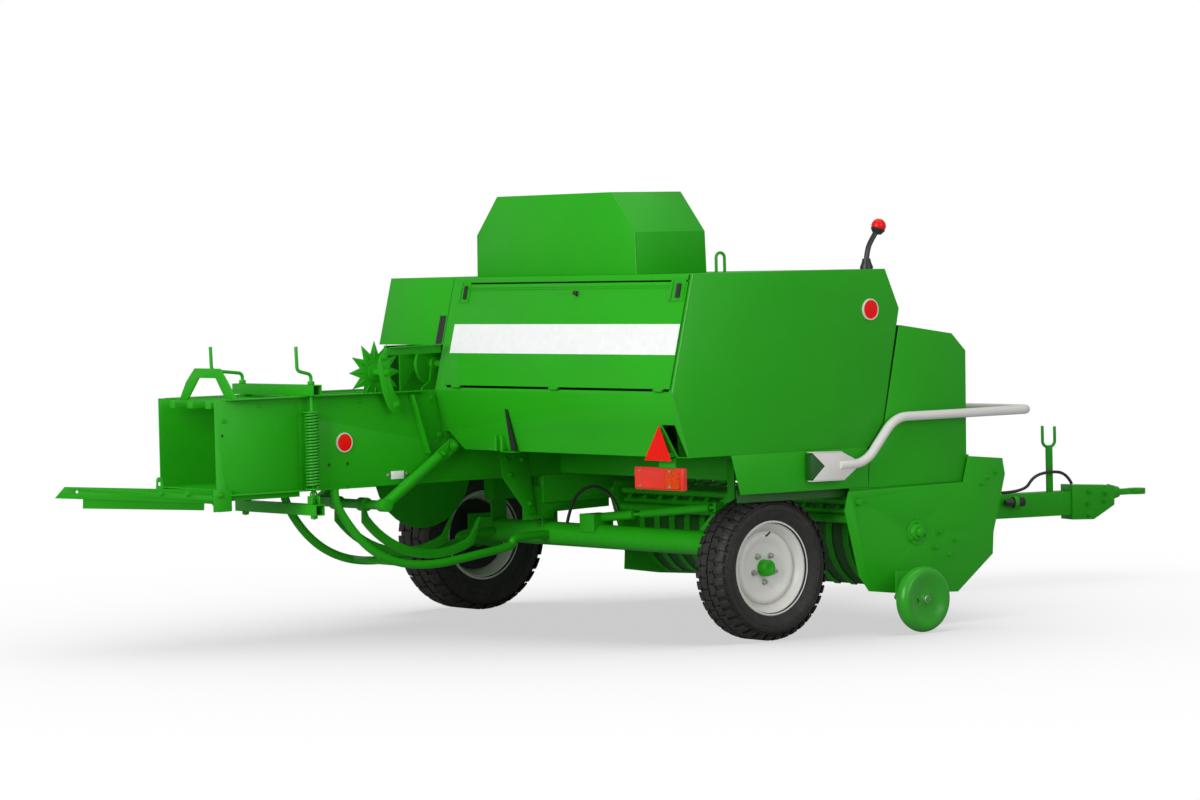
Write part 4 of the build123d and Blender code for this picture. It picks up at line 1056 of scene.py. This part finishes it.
@dataclass
class DoorDress:
    """What lies on the leaning rear face: the door's stripe, folds, latches, knob and beads, and a black plate of
    painted shade in the cover's notch.
    """

    top: Flat = (-0.989, 1.651)
    knee: Flat = (-1.123, 1.123)
    left: float = -0.480
    right: float = 1.172
    face: float = 0.008

    @property
    def outward(self) -> Vector:
        """Direction that the leaning face looks."""
        run = Vector((0, self.top[0] - self.knee[0], self.top[1] - self.knee[1])).normalized()
        return Vector((0, -run.z, run.y))

    def spot(self, x: float, z: float, out: float) -> Vector:
        """A point on the leaning face.

        Args:
            x: place across the machine.
            z: height.
            out: distance off the face, outwards.

        Returns:
            The point.
        """
        share = (self.top[1] - z) / (self.top[1] - self.knee[1])
        y = self.top[0] + (self.knee[0] - self.top[0]) * share
        return Vector((x, y, z)) + self.outward * out

    def slab(self, name: str, x0: float, x1: float, z0: float, z1: float, out0: float, out1: float) -> Thing:
        """A thin plate that lies on the leaning face between two distances off it."""
        corners = [self.spot(x, z, out0) for x, z in ((x0, z0), (x1, z0), (x1, z1), (x0, z1))]
        return plate(name, corners, self.outward * (out1 - out0))

    def latch(self, name: str, x: float, wide: float) -> None:
        """A paddle latch in a shallow tray, with a bright edge beside it.

        Args:
            name: the pieces' name.
            x: its middle.
            wide: its width.
        """
        f = self.face
        tray = self.slab(f"{name}_tray", x - wide / 2, x + wide / 2, 1.530, 1.630, f - 0.001, f + 0.004)
        settle(sink(tray, self.outward, 0.007, -0.003), "door", Finish.GREEN, 0.001)
        strip = self.slab(f"{name}_edge", x - wide * 0.46, x - wide * 0.34, 1.535, 1.625, f, f + 0.006)
        settle(strip, "door", Finish.GREEN_ROD, 0.001)
        paddle = self.slab(f"{name}_paddle", x - wide * 0.05, x + wide * 0.22, 1.545, 1.606, f, f + 0.009)
        settle(sink(paddle, self.outward, 0.005, -0.003), "door", Finish.BLACK, 0.001)

    def build(self) -> None:
        """Lay the stripe and put the fittings on the face."""
        f, left, right = self.face, self.left, self.right
        stripe = self.slab("white_stripe", left + 0.002, right - 0.002, 1.296, 1.430, f, f + 0.0006)
        settle(stripe, "door", Finish.STRIPE)
        for number, z in enumerate((1.597, 1.588)):
            fold = self.slab(f"door_fold_{number}", left + 0.004, right - 0.004, z, z + 0.0035, f - 0.001, f + 0.0025)
            settle(fold, "door", Finish.GREEN, 0.001)
        lip = self.slab("door_top_lip", left, right, 1.622, 1.648, f - 0.001, f + 0.0015)
        settle(lip, "door", Finish.GREEN, 0.0005)
        self.latch("latch_left", -0.440, 0.075)
        self.latch("latch_right", 1.113, 0.100)
        # Painted shade: a black plate for the shade inside the cover's notch, with a green edge beside it.
        settle(self.slab("painted_shade_notch", -0.612, -0.566, 1.337, 1.472, 0.0003, 0.0012), "knotter_lid", Finish.WELL)
        rim = self.slab("knotter_notch_edge", -0.616, -0.611, 1.337, 1.474, 0.0003, 0.0040)
        settle(rim, "knotter_lid", Finish.GREEN_ROD)
        settle(self.slab("handle_groove", 0.255, 0.385, 1.566, 1.5695, f - 0.0005, f + 0.0006), "door", Finish.CAST)
        turn("handle_knob", [(-0.001, 0.0), (-0.001, 0.012), (0.003, 0.013), (0.006, 0.009), (0.016, 0.008),
                             (0.020, 0.011), (0.022, 0.008), (0.022, 0.0)],
             self.spot(0.408, 1.567, f), "door", Finish.BLACK, self.outward, 24)
        name = "corner_bead"
        edge = start_rod(name, self.spot(1.192, 1.128, 0.002), self.spot(1.192, 1.648, 0.002), 0.007, 16)
        low = start_rod(name, self.spot(1.196, 1.122, -0.002), (1.196, -1.043, 0.850), 0.005, 16)
        hood = start_rod(name, (0.7535, -0.9535, 1.656), (0.7485, -0.9535, 1.836), 0.004, 16)
        settle(join([edge, low, hood], name), "chassis", Finish.GREEN_ROD)


@dataclass
class RearMarks:
    """What is on the lower rear panel: the upright red triangle, a black wedge of painted shadow where a slot is, and a
    bracket.
    """

    y: float = -1.0945
    corners: tuple[Flat, ...] = ((0.957, 0.833), (1.141, 0.833), (1.062, 0.988))
    border: float = 0.013

    def build(self) -> None:
        """Make the triangle on its two lugs, the black wedge of painted shadow and the bracket."""
        base = plate("triangle", [(x, self.y, z) for x, z in self.corners], (0, -0.004, 0))
        settle(sink(base, REARWARD, self.border, -0.0015), "chassis", Finish.RED, 0.0006)
        lugs = [start_box("triangle_lug", (x - 0.010, self.y, z - 0.010), (x + 0.010, back, z + 0.010))
                for x, z, back in ((1.060, 0.950, -1.074), (1.000, 0.858, -1.046), (1.100, 0.858, -1.046))]
        settle(join(lugs, "triangle_lugs"), "chassis", Finish.GREEN, 0.001)
        # Painted shadow: a black wedge plate that stands for the shade in a slot.
        pin = plate("slot_shadow_plate", [(-0.033, -1.104, 1.044), (-0.020, -1.104, 1.041), (-0.011, -1.060, 0.850),
                                 (-0.050, -1.060, 0.848)], (0, -0.008, 0))
        settle(pin, "chassis", Finish.BLACK, 0.002)
        cheeks = [start_box("slot_bracket", (x, -1.078, 0.846), (x + 0.018, -1.040, 0.919)) for x in (-0.163, -0.118)]
        foot = start_box("slot_bracket", (-0.118, -1.078, 0.8405), (-0.010, -1.036, 0.8445))
        settle(join(cheeks + [foot], "slot_bracket"), "chassis", Finish.GREEN, 0.0015)


@dataclass
class RearLamp:
    """Rear lamp with a deep red and an amber lens on one base, hung from a green bracket."""

    left: float = 0.839
    right: float = 1.168
    low: float = 0.700
    high: float = 0.800
    back: float = -1.066
    front: float = -1.030
    amber_from: float = 1.058
    bracket: tuple[float, ...] = (1.007, 1.120, -1.056)

    def lens(self, name: str, x0: float, x1: float, finish: Finish) -> None:
        """One lens with a raised field of prisms."""
        made = start_box(name, (x0, self.back, self.low + 0.008), (x1, self.back + 0.016, self.high - 0.008))
        settle(sink(made, REARWARD, 0.007, -0.0022), "chassis", finish, 0.0012)

    def build(self) -> None:
        """Build the base, the lenses, the screws and the bracket, which stand for the CAD node."""
        base = start_box("lamp_base", (self.left, self.back + 0.010, self.low), (self.right, self.front, self.high))
        settle(sink(base, FORWARD, 0.012, 0.0, (1.0, 1.0, 0.9)), "chassis", Finish.DEEP_RED, 0.004)
        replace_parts(base, "rear_lamp")
        self.lens("lens_red", self.left + 0.010, self.amber_from - 0.002, Finish.DEEP_RED)
        self.lens("lens_amber", self.amber_from, self.right - 0.016, Finish.AMBER)
        x0, x1, y0 = self.bracket
        # web, top flange and foot: where each ends forwards, and its heights
        sheets = [start_box("lamp_bracket", (x0, y0, z0), (x1, y1, z1))
                  for y1, z0, z1 in ((-1.052, 0.796, 0.8447), (-1.030, 0.8407, 0.8447), (-1.032, 0.7965, 0.8005))]
        settle(join(sheets, "lamp_bracket"), "chassis", Finish.GREEN, 0.0008)
        spots = tuple((x, self.back, z) for x in (self.left + 0.045, self.amber_from + 0.032)
                      for z in (self.low + 0.016, self.high - 0.016))
        Bolts("lens_screws", spots, 0.0042, axis=REARWARD, finish=Finish.ZINC).build()


@dataclass
class MarkerLamp:
    """Tall marker lamp on the front corner of the cover: rubber foot, bent stem and round red lens."""

    foot: Spot = (1.110, 0.112, 1.6513)
    ball: Spot = (1.110, 0.192, 1.846)
    ball_radius: float = 0.034

    def build(self) -> None:
        """Build the foot, the stem, the lens and its cap."""
        foot = lathe("marker_foot", [(0.0, 0.0), (0.0, 0.030), (0.010, 0.030), (0.030, 0.022), (0.048, 0.018),
                                     (0.048, 0.0)], self.foot, UP, 32)
        rise = on_x(self.foot[0], (0.112, 1.690), (0.118, 1.740), (0.150, 1.790), (0.186, 1.832))
        stem = bent_rod("marker_stem", rise, 0.0125, 3)
        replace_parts(settle(join([foot, stem], "marker_stem"), "chassis", Finish.BLACK), "marker_lamp")
        lean = Vector((0, 0.35, 1)).normalized()
        arc = [polar(self.ball_radius, a) for a in range(0, 181, 12)]
        turn("marker_lens", [(-run, max(rise, 0.0)) for run, rise in arc], self.ball, "chassis", Finish.RED, lean)
        turn("marker_cap", [(-0.036, 0.0), (-0.036, 0.020), (-0.022, 0.030), (-0.016, 0.0335), (-0.016, 0.0)],
             self.ball, "chassis", Finish.BLACK, lean)


@dataclass(frozen=True)
class RailFoot:
    """Flared channel at the rail's lower end, with its notched rear edge, on a pad painted dark as the shade in the
    notch.
    """

    x: float = 1.2455
    fold: float = 0.034
    skirt: float = 1.2025

    def build(self) -> None:
        """Fold the channel out of a notched web and two flanges."""
        x, inner, outer = self.x, self.x - self.fold, self.x + 0.004
        web = plate("rail_foot", on_x(x, (-0.364, 0.836), (-0.184, 0.832), (-0.105, 0.796), (-0.105, 0.752),
                                      (-0.171, 0.710), (-0.364, 0.712), (-0.290, 0.774)), (0.005, 0, 0))
        top = plate("rail_foot", [(inner, -0.364, 0.8365), (outer, -0.364, 0.8365), (outer, -0.184, 0.8325),
                                  (inner, -0.184, 0.8325)], (0, 0, 0.004))
        low = plate("rail_foot", [(inner, -0.364, 0.7115), (inner, -0.171, 0.7095), (outer, -0.171, 0.7095),
                                  (outer, -0.364, 0.7115)], (0, 0, -0.004))
        settle(join([web, top, low], "rail_foot"), "chassis", Finish.SILVER, 0.0015)
        # Painted shade: a dark green pad that shows the shade inside the notch.
        back = plate("rail_foot_shade_pad", on_x(self.skirt, *rect(-0.366, -0.285, 0.828, 0.718)),
                     (x - self.skirt - 0.0003, 0, 0))
        settle(back, "chassis", Finish.SHADE, 0.001)


@dataclass(frozen=True)
class GaugeWheel:
    """The pickup's pressed gauge wheel: round shoulders and a wide smooth dish."""

    centre: Spot = (1.391, 0.161, 0.153)
    radius: float = 0.150
    half: float = 0.039
    shoulder: float = 0.030

    def build(self) -> None:
        """Turn the two pressed halves, then set the nut and the hole plug."""
        r, h, q = self.radius, self.half, self.shoulder
        bend = [polar(1.0, a) for a in range(90, -1, -15)]
        face = [(h * run * 0.98, r - q + q * rise) for run, rise in bend]
        face += [(h * 0.94, r - 0.042), (h * 0.76, r - 0.058), (h * 0.58, r - 0.078), (h * 0.48, r - 0.100),
                 (h * 0.44, 0.026), (h * 0.60, 0.020), (h * 0.60, 0.0125)]
        ring = face + [(-along, radius) for along, radius in reversed(face)] + face[:1]
        wheel = turn("gauge_wheel_pressing", ring, self.centre, "gauge", Finish.GREEN_ROD, steps=72, angle=50.0)
        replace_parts(wheel, "gauge_wheel")
        x, y, z = self.centre
        turn("gauge_nut", [(0.0, 0.013), (0.0, 0.017), (0.006, 0.017), (0.008, 0.013), (0.0, 0.013)],
             (x + h * 0.60, y, z), "gauge", Finish.ZINC, steps=24, edge=0.0005, angle=35.0)
        turn("gauge_plug", [(-0.001, 0.0), (-0.001, 0.011), (0.002, 0.011), (0.003, 0.008), (0.001, 0.0)],
             (x + h * 0.45, y - 0.055, z - 0.004), "gauge", Finish.BLACK, steps=24, angle=35.0)


@dataclass(frozen=True)
class PickupBearing:
    """Flanged bearing on the pickup's side plate with its three bolts, and two round caps."""

    place: Spot = (1.212, 0.297, 0.441)
    bolt_circle: float = 0.048
    caps: tuple[Flat, ...] = ((0.140, -0.007), (0.113, -0.074))

    def build(self) -> None:
        """Turn the flange and the boss, and put the bolts on."""
        x, y, z = self.place
        turn("bearing_flange", [(0.0, 0.022), (0.0, 0.058), (0.004, 0.058), (0.006, 0.050), (0.006, 0.040),
                                (0.014, 0.036), (0.018, 0.030), (0.018, 0.0225), (0.0, 0.022)],
             self.place, "pickup", Finish.GREEN, steps=48)
        turn("shaft_cap", [(0.0165, 0.0), (0.0165, 0.0215), (0.030, 0.0205), (0.034, 0.014), (0.035, 0.0)],
             self.place, "reel", Finish.GREEN)
        around = [polar(self.bolt_circle, a) for a in (100, 215, 340)]
        Bolts("bearing_bolts", on_x(x + 0.006, *((y + run, z + rise) for run, rise in around)), 0.007, "pickup").build()
        for number, (dy, dz) in enumerate(self.caps):
            turn(f"round_cap_{number}", [(0.0, 0.012), (0.0, 0.020), (0.003, 0.020), (0.004, 0.012), (0.0, 0.012)],
                 (x, y + dy, z + dz), "pickup", Finish.GREEN)


@dataclass(frozen=True)
class PickupBack:
    """Bands that close the pickup's back below the feeder, with a sheet inside them painted dark as shade."""

    axle: Flat = (0.297, 0.441)
    radius: float = 0.270
    first: float = -0.437
    last: float = 1.140
    count: int = 15
    wide: float = 0.040
    top: Flat = (0.055, 0.600)      # how far behind the arc's first point the back's top is, and its height
    angles: tuple[int, ...] = (162, 176, 190, 204, 218, 232, 244)

    def line(self, radius: float) -> list[Flat]:
        """Side view of the back at one distance from the reel's axle."""
        y, z = self.axle
        arc = [(y + run, z + rise) for run, rise in (polar(radius, a) for a in self.angles)]
        return [(arc[0][0] - self.top[0], self.top[1] + (radius - self.radius))] + arc

    def strip(self, name: str, x: float, wide: float, low: float, high: float) -> Thing:
        """One curved strip between two distances from the axle."""
        return plate(name, on_x(x, *self.line(low), *reversed(self.line(high))), (wide, 0, 0))

    def build(self) -> None:
        """Bend the sheet and the bands."""
        r, run = self.radius, self.last - self.first
        # Painted shade: a dark sheet for the shade inside the bands.
        sheet = self.strip("pickup_back_shade_sheet", self.first - 0.010, run + 0.020, r - 0.002, r)
        settle(sheet, "pickup", Finish.SHADE, 0.0, 30.0)
        band = self.strip("pickup_back_band", self.first - self.wide / 2, self.wide, r + 0.0005, r + 0.006)
        step = run / (self.count - 1)
        bands = copy_to(round_edges(band, 0.0015, 1), [Matrix.Translation((step * k, 0, 0)) for k in range(self.count)])
        settle(join(bands, "pickup_back_bands"), "pickup", Finish.GREEN, 0.0, 30.0)


@dataclass(frozen=True)
class StarWheel:
    """The toothed wheel that measures the bale, with broad teeth folded along their middles."""

    centre: Spot = (-0.605, -1.430, 1.218)
    tip: float = 0.148
    root: float = 0.088
    teeth: int = 12
    half: float = 0.002
    rib: Flat = (0.0045, 0.0008)

    def build(self) -> None:
        """Cut the star, raise the ridge of each tooth and turn the hub."""
        x, y, z = self.centre
        corners = [polar(self.root if k % 2 else self.tip, 180.0 * k / self.teeth) for k in range(2 * self.teeth)]
        outline = on_x(x - self.half, *((y + run, z + rise) for run, rise in corners))
        star = plate("star_teeth", outline, (2 * self.half, 0, 0))
        hub = lathe("star_hub", [(-0.011, 0.0), (-0.011, 0.012), (0.002, 0.012), (0.002, 0.042), (0.008, 0.042),
                                 (0.010, 0.016), (0.103, 0.0148), (0.103, 0.0)], self.centre, steps=32)
        base = Vector((x + 0.0018, y, z))
        ways = [Vector((0, *polar(1.0, 360.0 * k / self.teeth))) for k in range(self.teeth)]
        thick, thin = self.rib
        ribs = [start_rod("star_rib", base + way * self.root * 0.8, base + way * self.tip * 0.97, thick, 4, thin)
                for way in ways]
        whole = join([star, hub, *ribs], "star_wheel_toothed")
        settle(whole, "star", Finish.GREEN, 0.0006, 40.0)
        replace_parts(whole, "star_wheel")


@dataclass(frozen=True)
class Flap:
    """A flat plate or flap on the chassis, with its outline in one plane across X."""

    name: str
    x: float
    thick: float
    outline: tuple[Flat, ...]
    finish: Finish = Finish.GREEN

    def build(self) -> None:
        """Cut the plate and finish it."""
        made = plate(self.name, on_x(self.x, *self.outline), (self.thick, 0, 0))
        settle(made, "chassis", self.finish, min(0.001, self.thick / 3))


@dataclass(frozen=True)
class WallHoles:
    """Round holes in the chamber's right wall, drawn as thin black discs of painted shade."""

    x: float
    places: tuple[Flat, ...]
    radius: float = 0.0065

    def build(self) -> None:
        """Lay a thin black disc of painted shade at each hole."""
        y0, z0 = self.places[0]
        r = self.radius
        # Painted shade: each hole is a thin black disc for the shade inside it.
        cup = lathe("hole", [(0.0, 0.0), (0.0, r), (0.0008, r), (0.0008, 0.0)], (self.x, y0, z0), steps=24)
        made = copy_to(cup, [Matrix.Translation((0, y - y0, z - z0)) for y, z in self.places])
        settle(join(made, "wall_hole_shades"), "chassis", Finish.BLACK)


@dataclass(frozen=True)
class Hose:
    """A rubber hose fixed at both ends, along a route of its own."""

    name: str
    body: str
    route: tuple[Spot, ...]
    radius: float = 0.008

    def build(self) -> None:
        """Lay the hose on one smooth line."""
        data = bpy.data.curves.new(self.name, "CURVE")
        thread(data, self.route, self.radius, 4, 10)
        thing = bpy.data.objects.new(f"{self.name}_rubber", data)
        bpy.context.scene.collection.objects.link(thing)
        data.materials.append(Finish.HOSE.paint())
        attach(thing, self.body)
        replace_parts(thing, self.name)


@dataclass(frozen=True)
class Drawbar:
    """Where the swung drawbar's own places are, and its small fittings."""

    pivot: Flat = (-0.690, 0.735)
    angle: float = 14.0
    box_at: float = 2.0284
    hose_x: float = 0.024
    holder: Spot = (0.080, -0.360, 0.415)

    def spot(self, x: float, y: float, z: float) -> Spot:
        """A point in the frame's axes, from its place across the bar, ahead of the hitch box's back, and height."""
        c, s = polar(1.0, self.angle)
        y += self.box_at
        return self.pivot[0] + x * c + y * s, self.pivot[1] - x * s + y * c, z

    def build(self) -> None:
        """Put the bolts, the hose and the plug holder on the bar."""
        c, s = polar(1.0, self.angle)
        side, ahead = (c, -s, 0.0), (s, c, 0.0)
        bolts = ((0.100, 0.452), (0.092, 0.390), (0.098, 0.328), (0.200, 0.440), (0.194, 0.400))
        Bolts("hitch_bolts", tuple(self.spot(0.058, y, z) for y, z in bolts), 0.012, "drawbar", side).build()
        route = ((-0.404, 0.4633), (-0.268, 0.4633), (-0.215, 0.540), (-0.122, 0.562), (-0.014, 0.552), (0.018, 0.4916))
        Hose("bar_hose", "drawbar", tuple(self.spot(self.hose_x, y, z) for y, z in route)).build()
        middle = self.spot(*self.holder)
        ring = lathe("plug_holder", [(-0.012, 0.026), (-0.012, 0.030), (0.012, 0.030), (0.012, 0.026), (-0.012, 0.026)],
                     middle, ahead, 24)
        corners = rect(self.holder[1] - 0.012, self.holder[1] + 0.012, self.holder[2] - 0.010, self.holder[2] + 0.010)
        arm = plate("plug_holder_arm", [self.spot(0.050, y, z) for y, z in corners], Vector(side) * 0.008)
        settle(join([ring, arm], "plug_holder"), "drawbar", Finish.GREEN, 0.001)
        turn("plug", [(-0.060, 0.0), (-0.060, 0.014), (-0.040, 0.020), (0.020, 0.0245), (0.050, 0.0245), (0.052, 0.021),
                      (0.052, 0.0)], middle, "drawbar", Finish.BLACK, ahead, 24, 0.001, 35.0)


# ---------------------------------------------------------------- the machine

WALL = -0.554           # outer face of the chamber's right wall
POST = -0.5493          # outer face of the plates on it
STRAP = -0.5108         # outer face of the arms in front of it
SIDE = 1.212            # outer face of the pickup's side plate

REPLACED = {"tyre_right", "tyre_left", "rim_right", "rim_left", "tension_springs", "rear_lamp", "marker_lamp",
            "frame_hose", "bar_hose", "gauge_wheel", "star_wheel"}

PARTS: tuple[Part, ...] = (
    Wheel("right", (1.060, -0.515, 0.325), 0.325, 0.186, 0.205, 1, Tread.ROAD),
    Wheel("left", (-1.300, -0.368, 0.370), 0.370, 0.260, 0.212, -1, Tread.FIELD),
    DensitySprings(),
    DoorDress(),
    RearMarks(),
    RearLamp(),
    MarkerLamp(),
    Disc("side_reflector", (1.2005, 0.045, 1.468), 0.049),
    Disc("wall_reflector", (-0.5535, -1.650, 0.902), 0.046),
    Bolts("yoke_nut", on_x(-0.4985, (-1.054, 0.863)), 0.016),
    Bolts("star_bolts", on_x(STRAP, (-1.376, 1.066), (-1.446, 1.290)), 0.011),
    Bolts("post_bolts", on_x(POST, (-1.240, 1.090), (-1.150, 1.088), (-1.106, 0.915), (-1.170, 0.860)), 0.008),
    Bolts("hanger_bolts", on_x(POST, (-0.715, 0.780), (-0.620, 0.775), (-0.690, 0.705), (-0.575, 0.560)), 0.009),
    Bolts("arm_bolts", on_x(STRAP, (-1.112, 0.824), (-1.137, 0.811)), 0.010, "needles"),
    Bolts("pickup_bolts", on_x(SIDE, (0.437, 0.434), (0.410, 0.367), (0.534, 0.393), (0.501, 0.325), (0.806, 0.694),
                               (0.752, 0.670), (0.712, 0.644)), 0.010, "pickup"),
    RailFoot(),
    GaugeWheel(),
    PickupBearing(),
    Flap("seam_flap", 1.1955, 0.0015, ((-0.100, 0.690), (-0.100, 0.640), (0.020, 0.636), (0.640, 0.636), (0.652, 0.779),
                                       (0.600, 0.790), (0.560, 0.690))),
    # The next two flaps are painted shade: dark sheets put where the gaps behind them are in shade.
    Flap("skirt_shade_liner", 1.165, 0.003, ((-0.745, 0.690), (-0.745, 0.630), (-0.030, 0.622), (0.022, 0.642),
                                       (0.022, 0.690)), Finish.SHADE),
    Flap("knotter_back_shade", -1.010, 0.003, rect(-1.085, -0.930, 1.330, 1.106), Finish.SHADE),
    PickupBack(),
    StarWheel(),
    Flap("skirt_joint", 1.1925, 0.003, rect(-0.030, 0.050, 0.664, 0.800)),
    Flap("wall_doubler", WALL, 0.0015, ((-2.350, 1.100), (-1.905, 1.100), (-1.905, 0.666), (-2.300, 0.666))),
    Flap("blank_plate", -0.5536, 0.003, rect(-1.388, -1.315, 0.718, 0.756), Finish.STRIPE),
    Flap("frame_apron", -0.566, 0.004, ((-0.610, 0.640), (-0.080, 0.640), (-0.080, 0.520), (-0.420, 0.512),
                                        (-0.425, 0.480), (-0.610, 0.480))),
    Flap("chute_ear", -0.5385, 0.005, rect(-2.387, -2.288, 0.622, 0.722)),
    Bolts("ear_bolt", on_x(-0.5335, (-2.352, 0.698)), 0.011),
    Bolts("plate_screws", on_x(-0.5536, (-1.402, 0.738), (-1.298, 0.740)), 0.006, finish=Finish.ZINC),
    SpringFoot(),
    WallHoles(-0.5525, ((-1.737, 0.803), (-1.633, 0.804), (-1.735, 0.689), (-1.636, 0.693), (-2.320, 0.963))),
    Bolts("chute_bolts", on_x(-0.539, (-2.660, 0.722), (-2.520, 0.712)), 0.008, "chute"),
    Bolts("wall_bolts", on_x(WALL, (-2.312, 1.030), (-2.329, 0.700), (-2.120, 1.092), (-1.560, 1.092)), 0.008),
    Hose("frame_hose", "chassis", ((-0.431, -0.445, 0.4651), (-0.402, -0.445, 0.545), (-0.335, -0.445, 0.618),
                                   (-0.216, -0.445, 0.652), (-0.122, -0.440, 0.622), (-0.072, -0.433, 0.572),
                                   (-0.060, -0.430, 0.5335))),
    Drawbar(),
)


@dataclass
class Machine:
    """The whole machine on its frame."""

    frame: Frame

    def build(self) -> None:
        """Dress the frame, then build each sub-assembly in order."""
        self.frame.dress(REPLACED)
        for part in PARTS:
            log.info("building %s", type(part).__name__)
            part.build()


def main() -> None:
    """Build the scene."""
    logging.basicConfig(level=logging.INFO, format="%(name)s: %(message)s")
    frame = Frame()
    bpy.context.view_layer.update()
    Studio().build()
    Machine(frame).build()


if __name__ == "__main__":
    main()
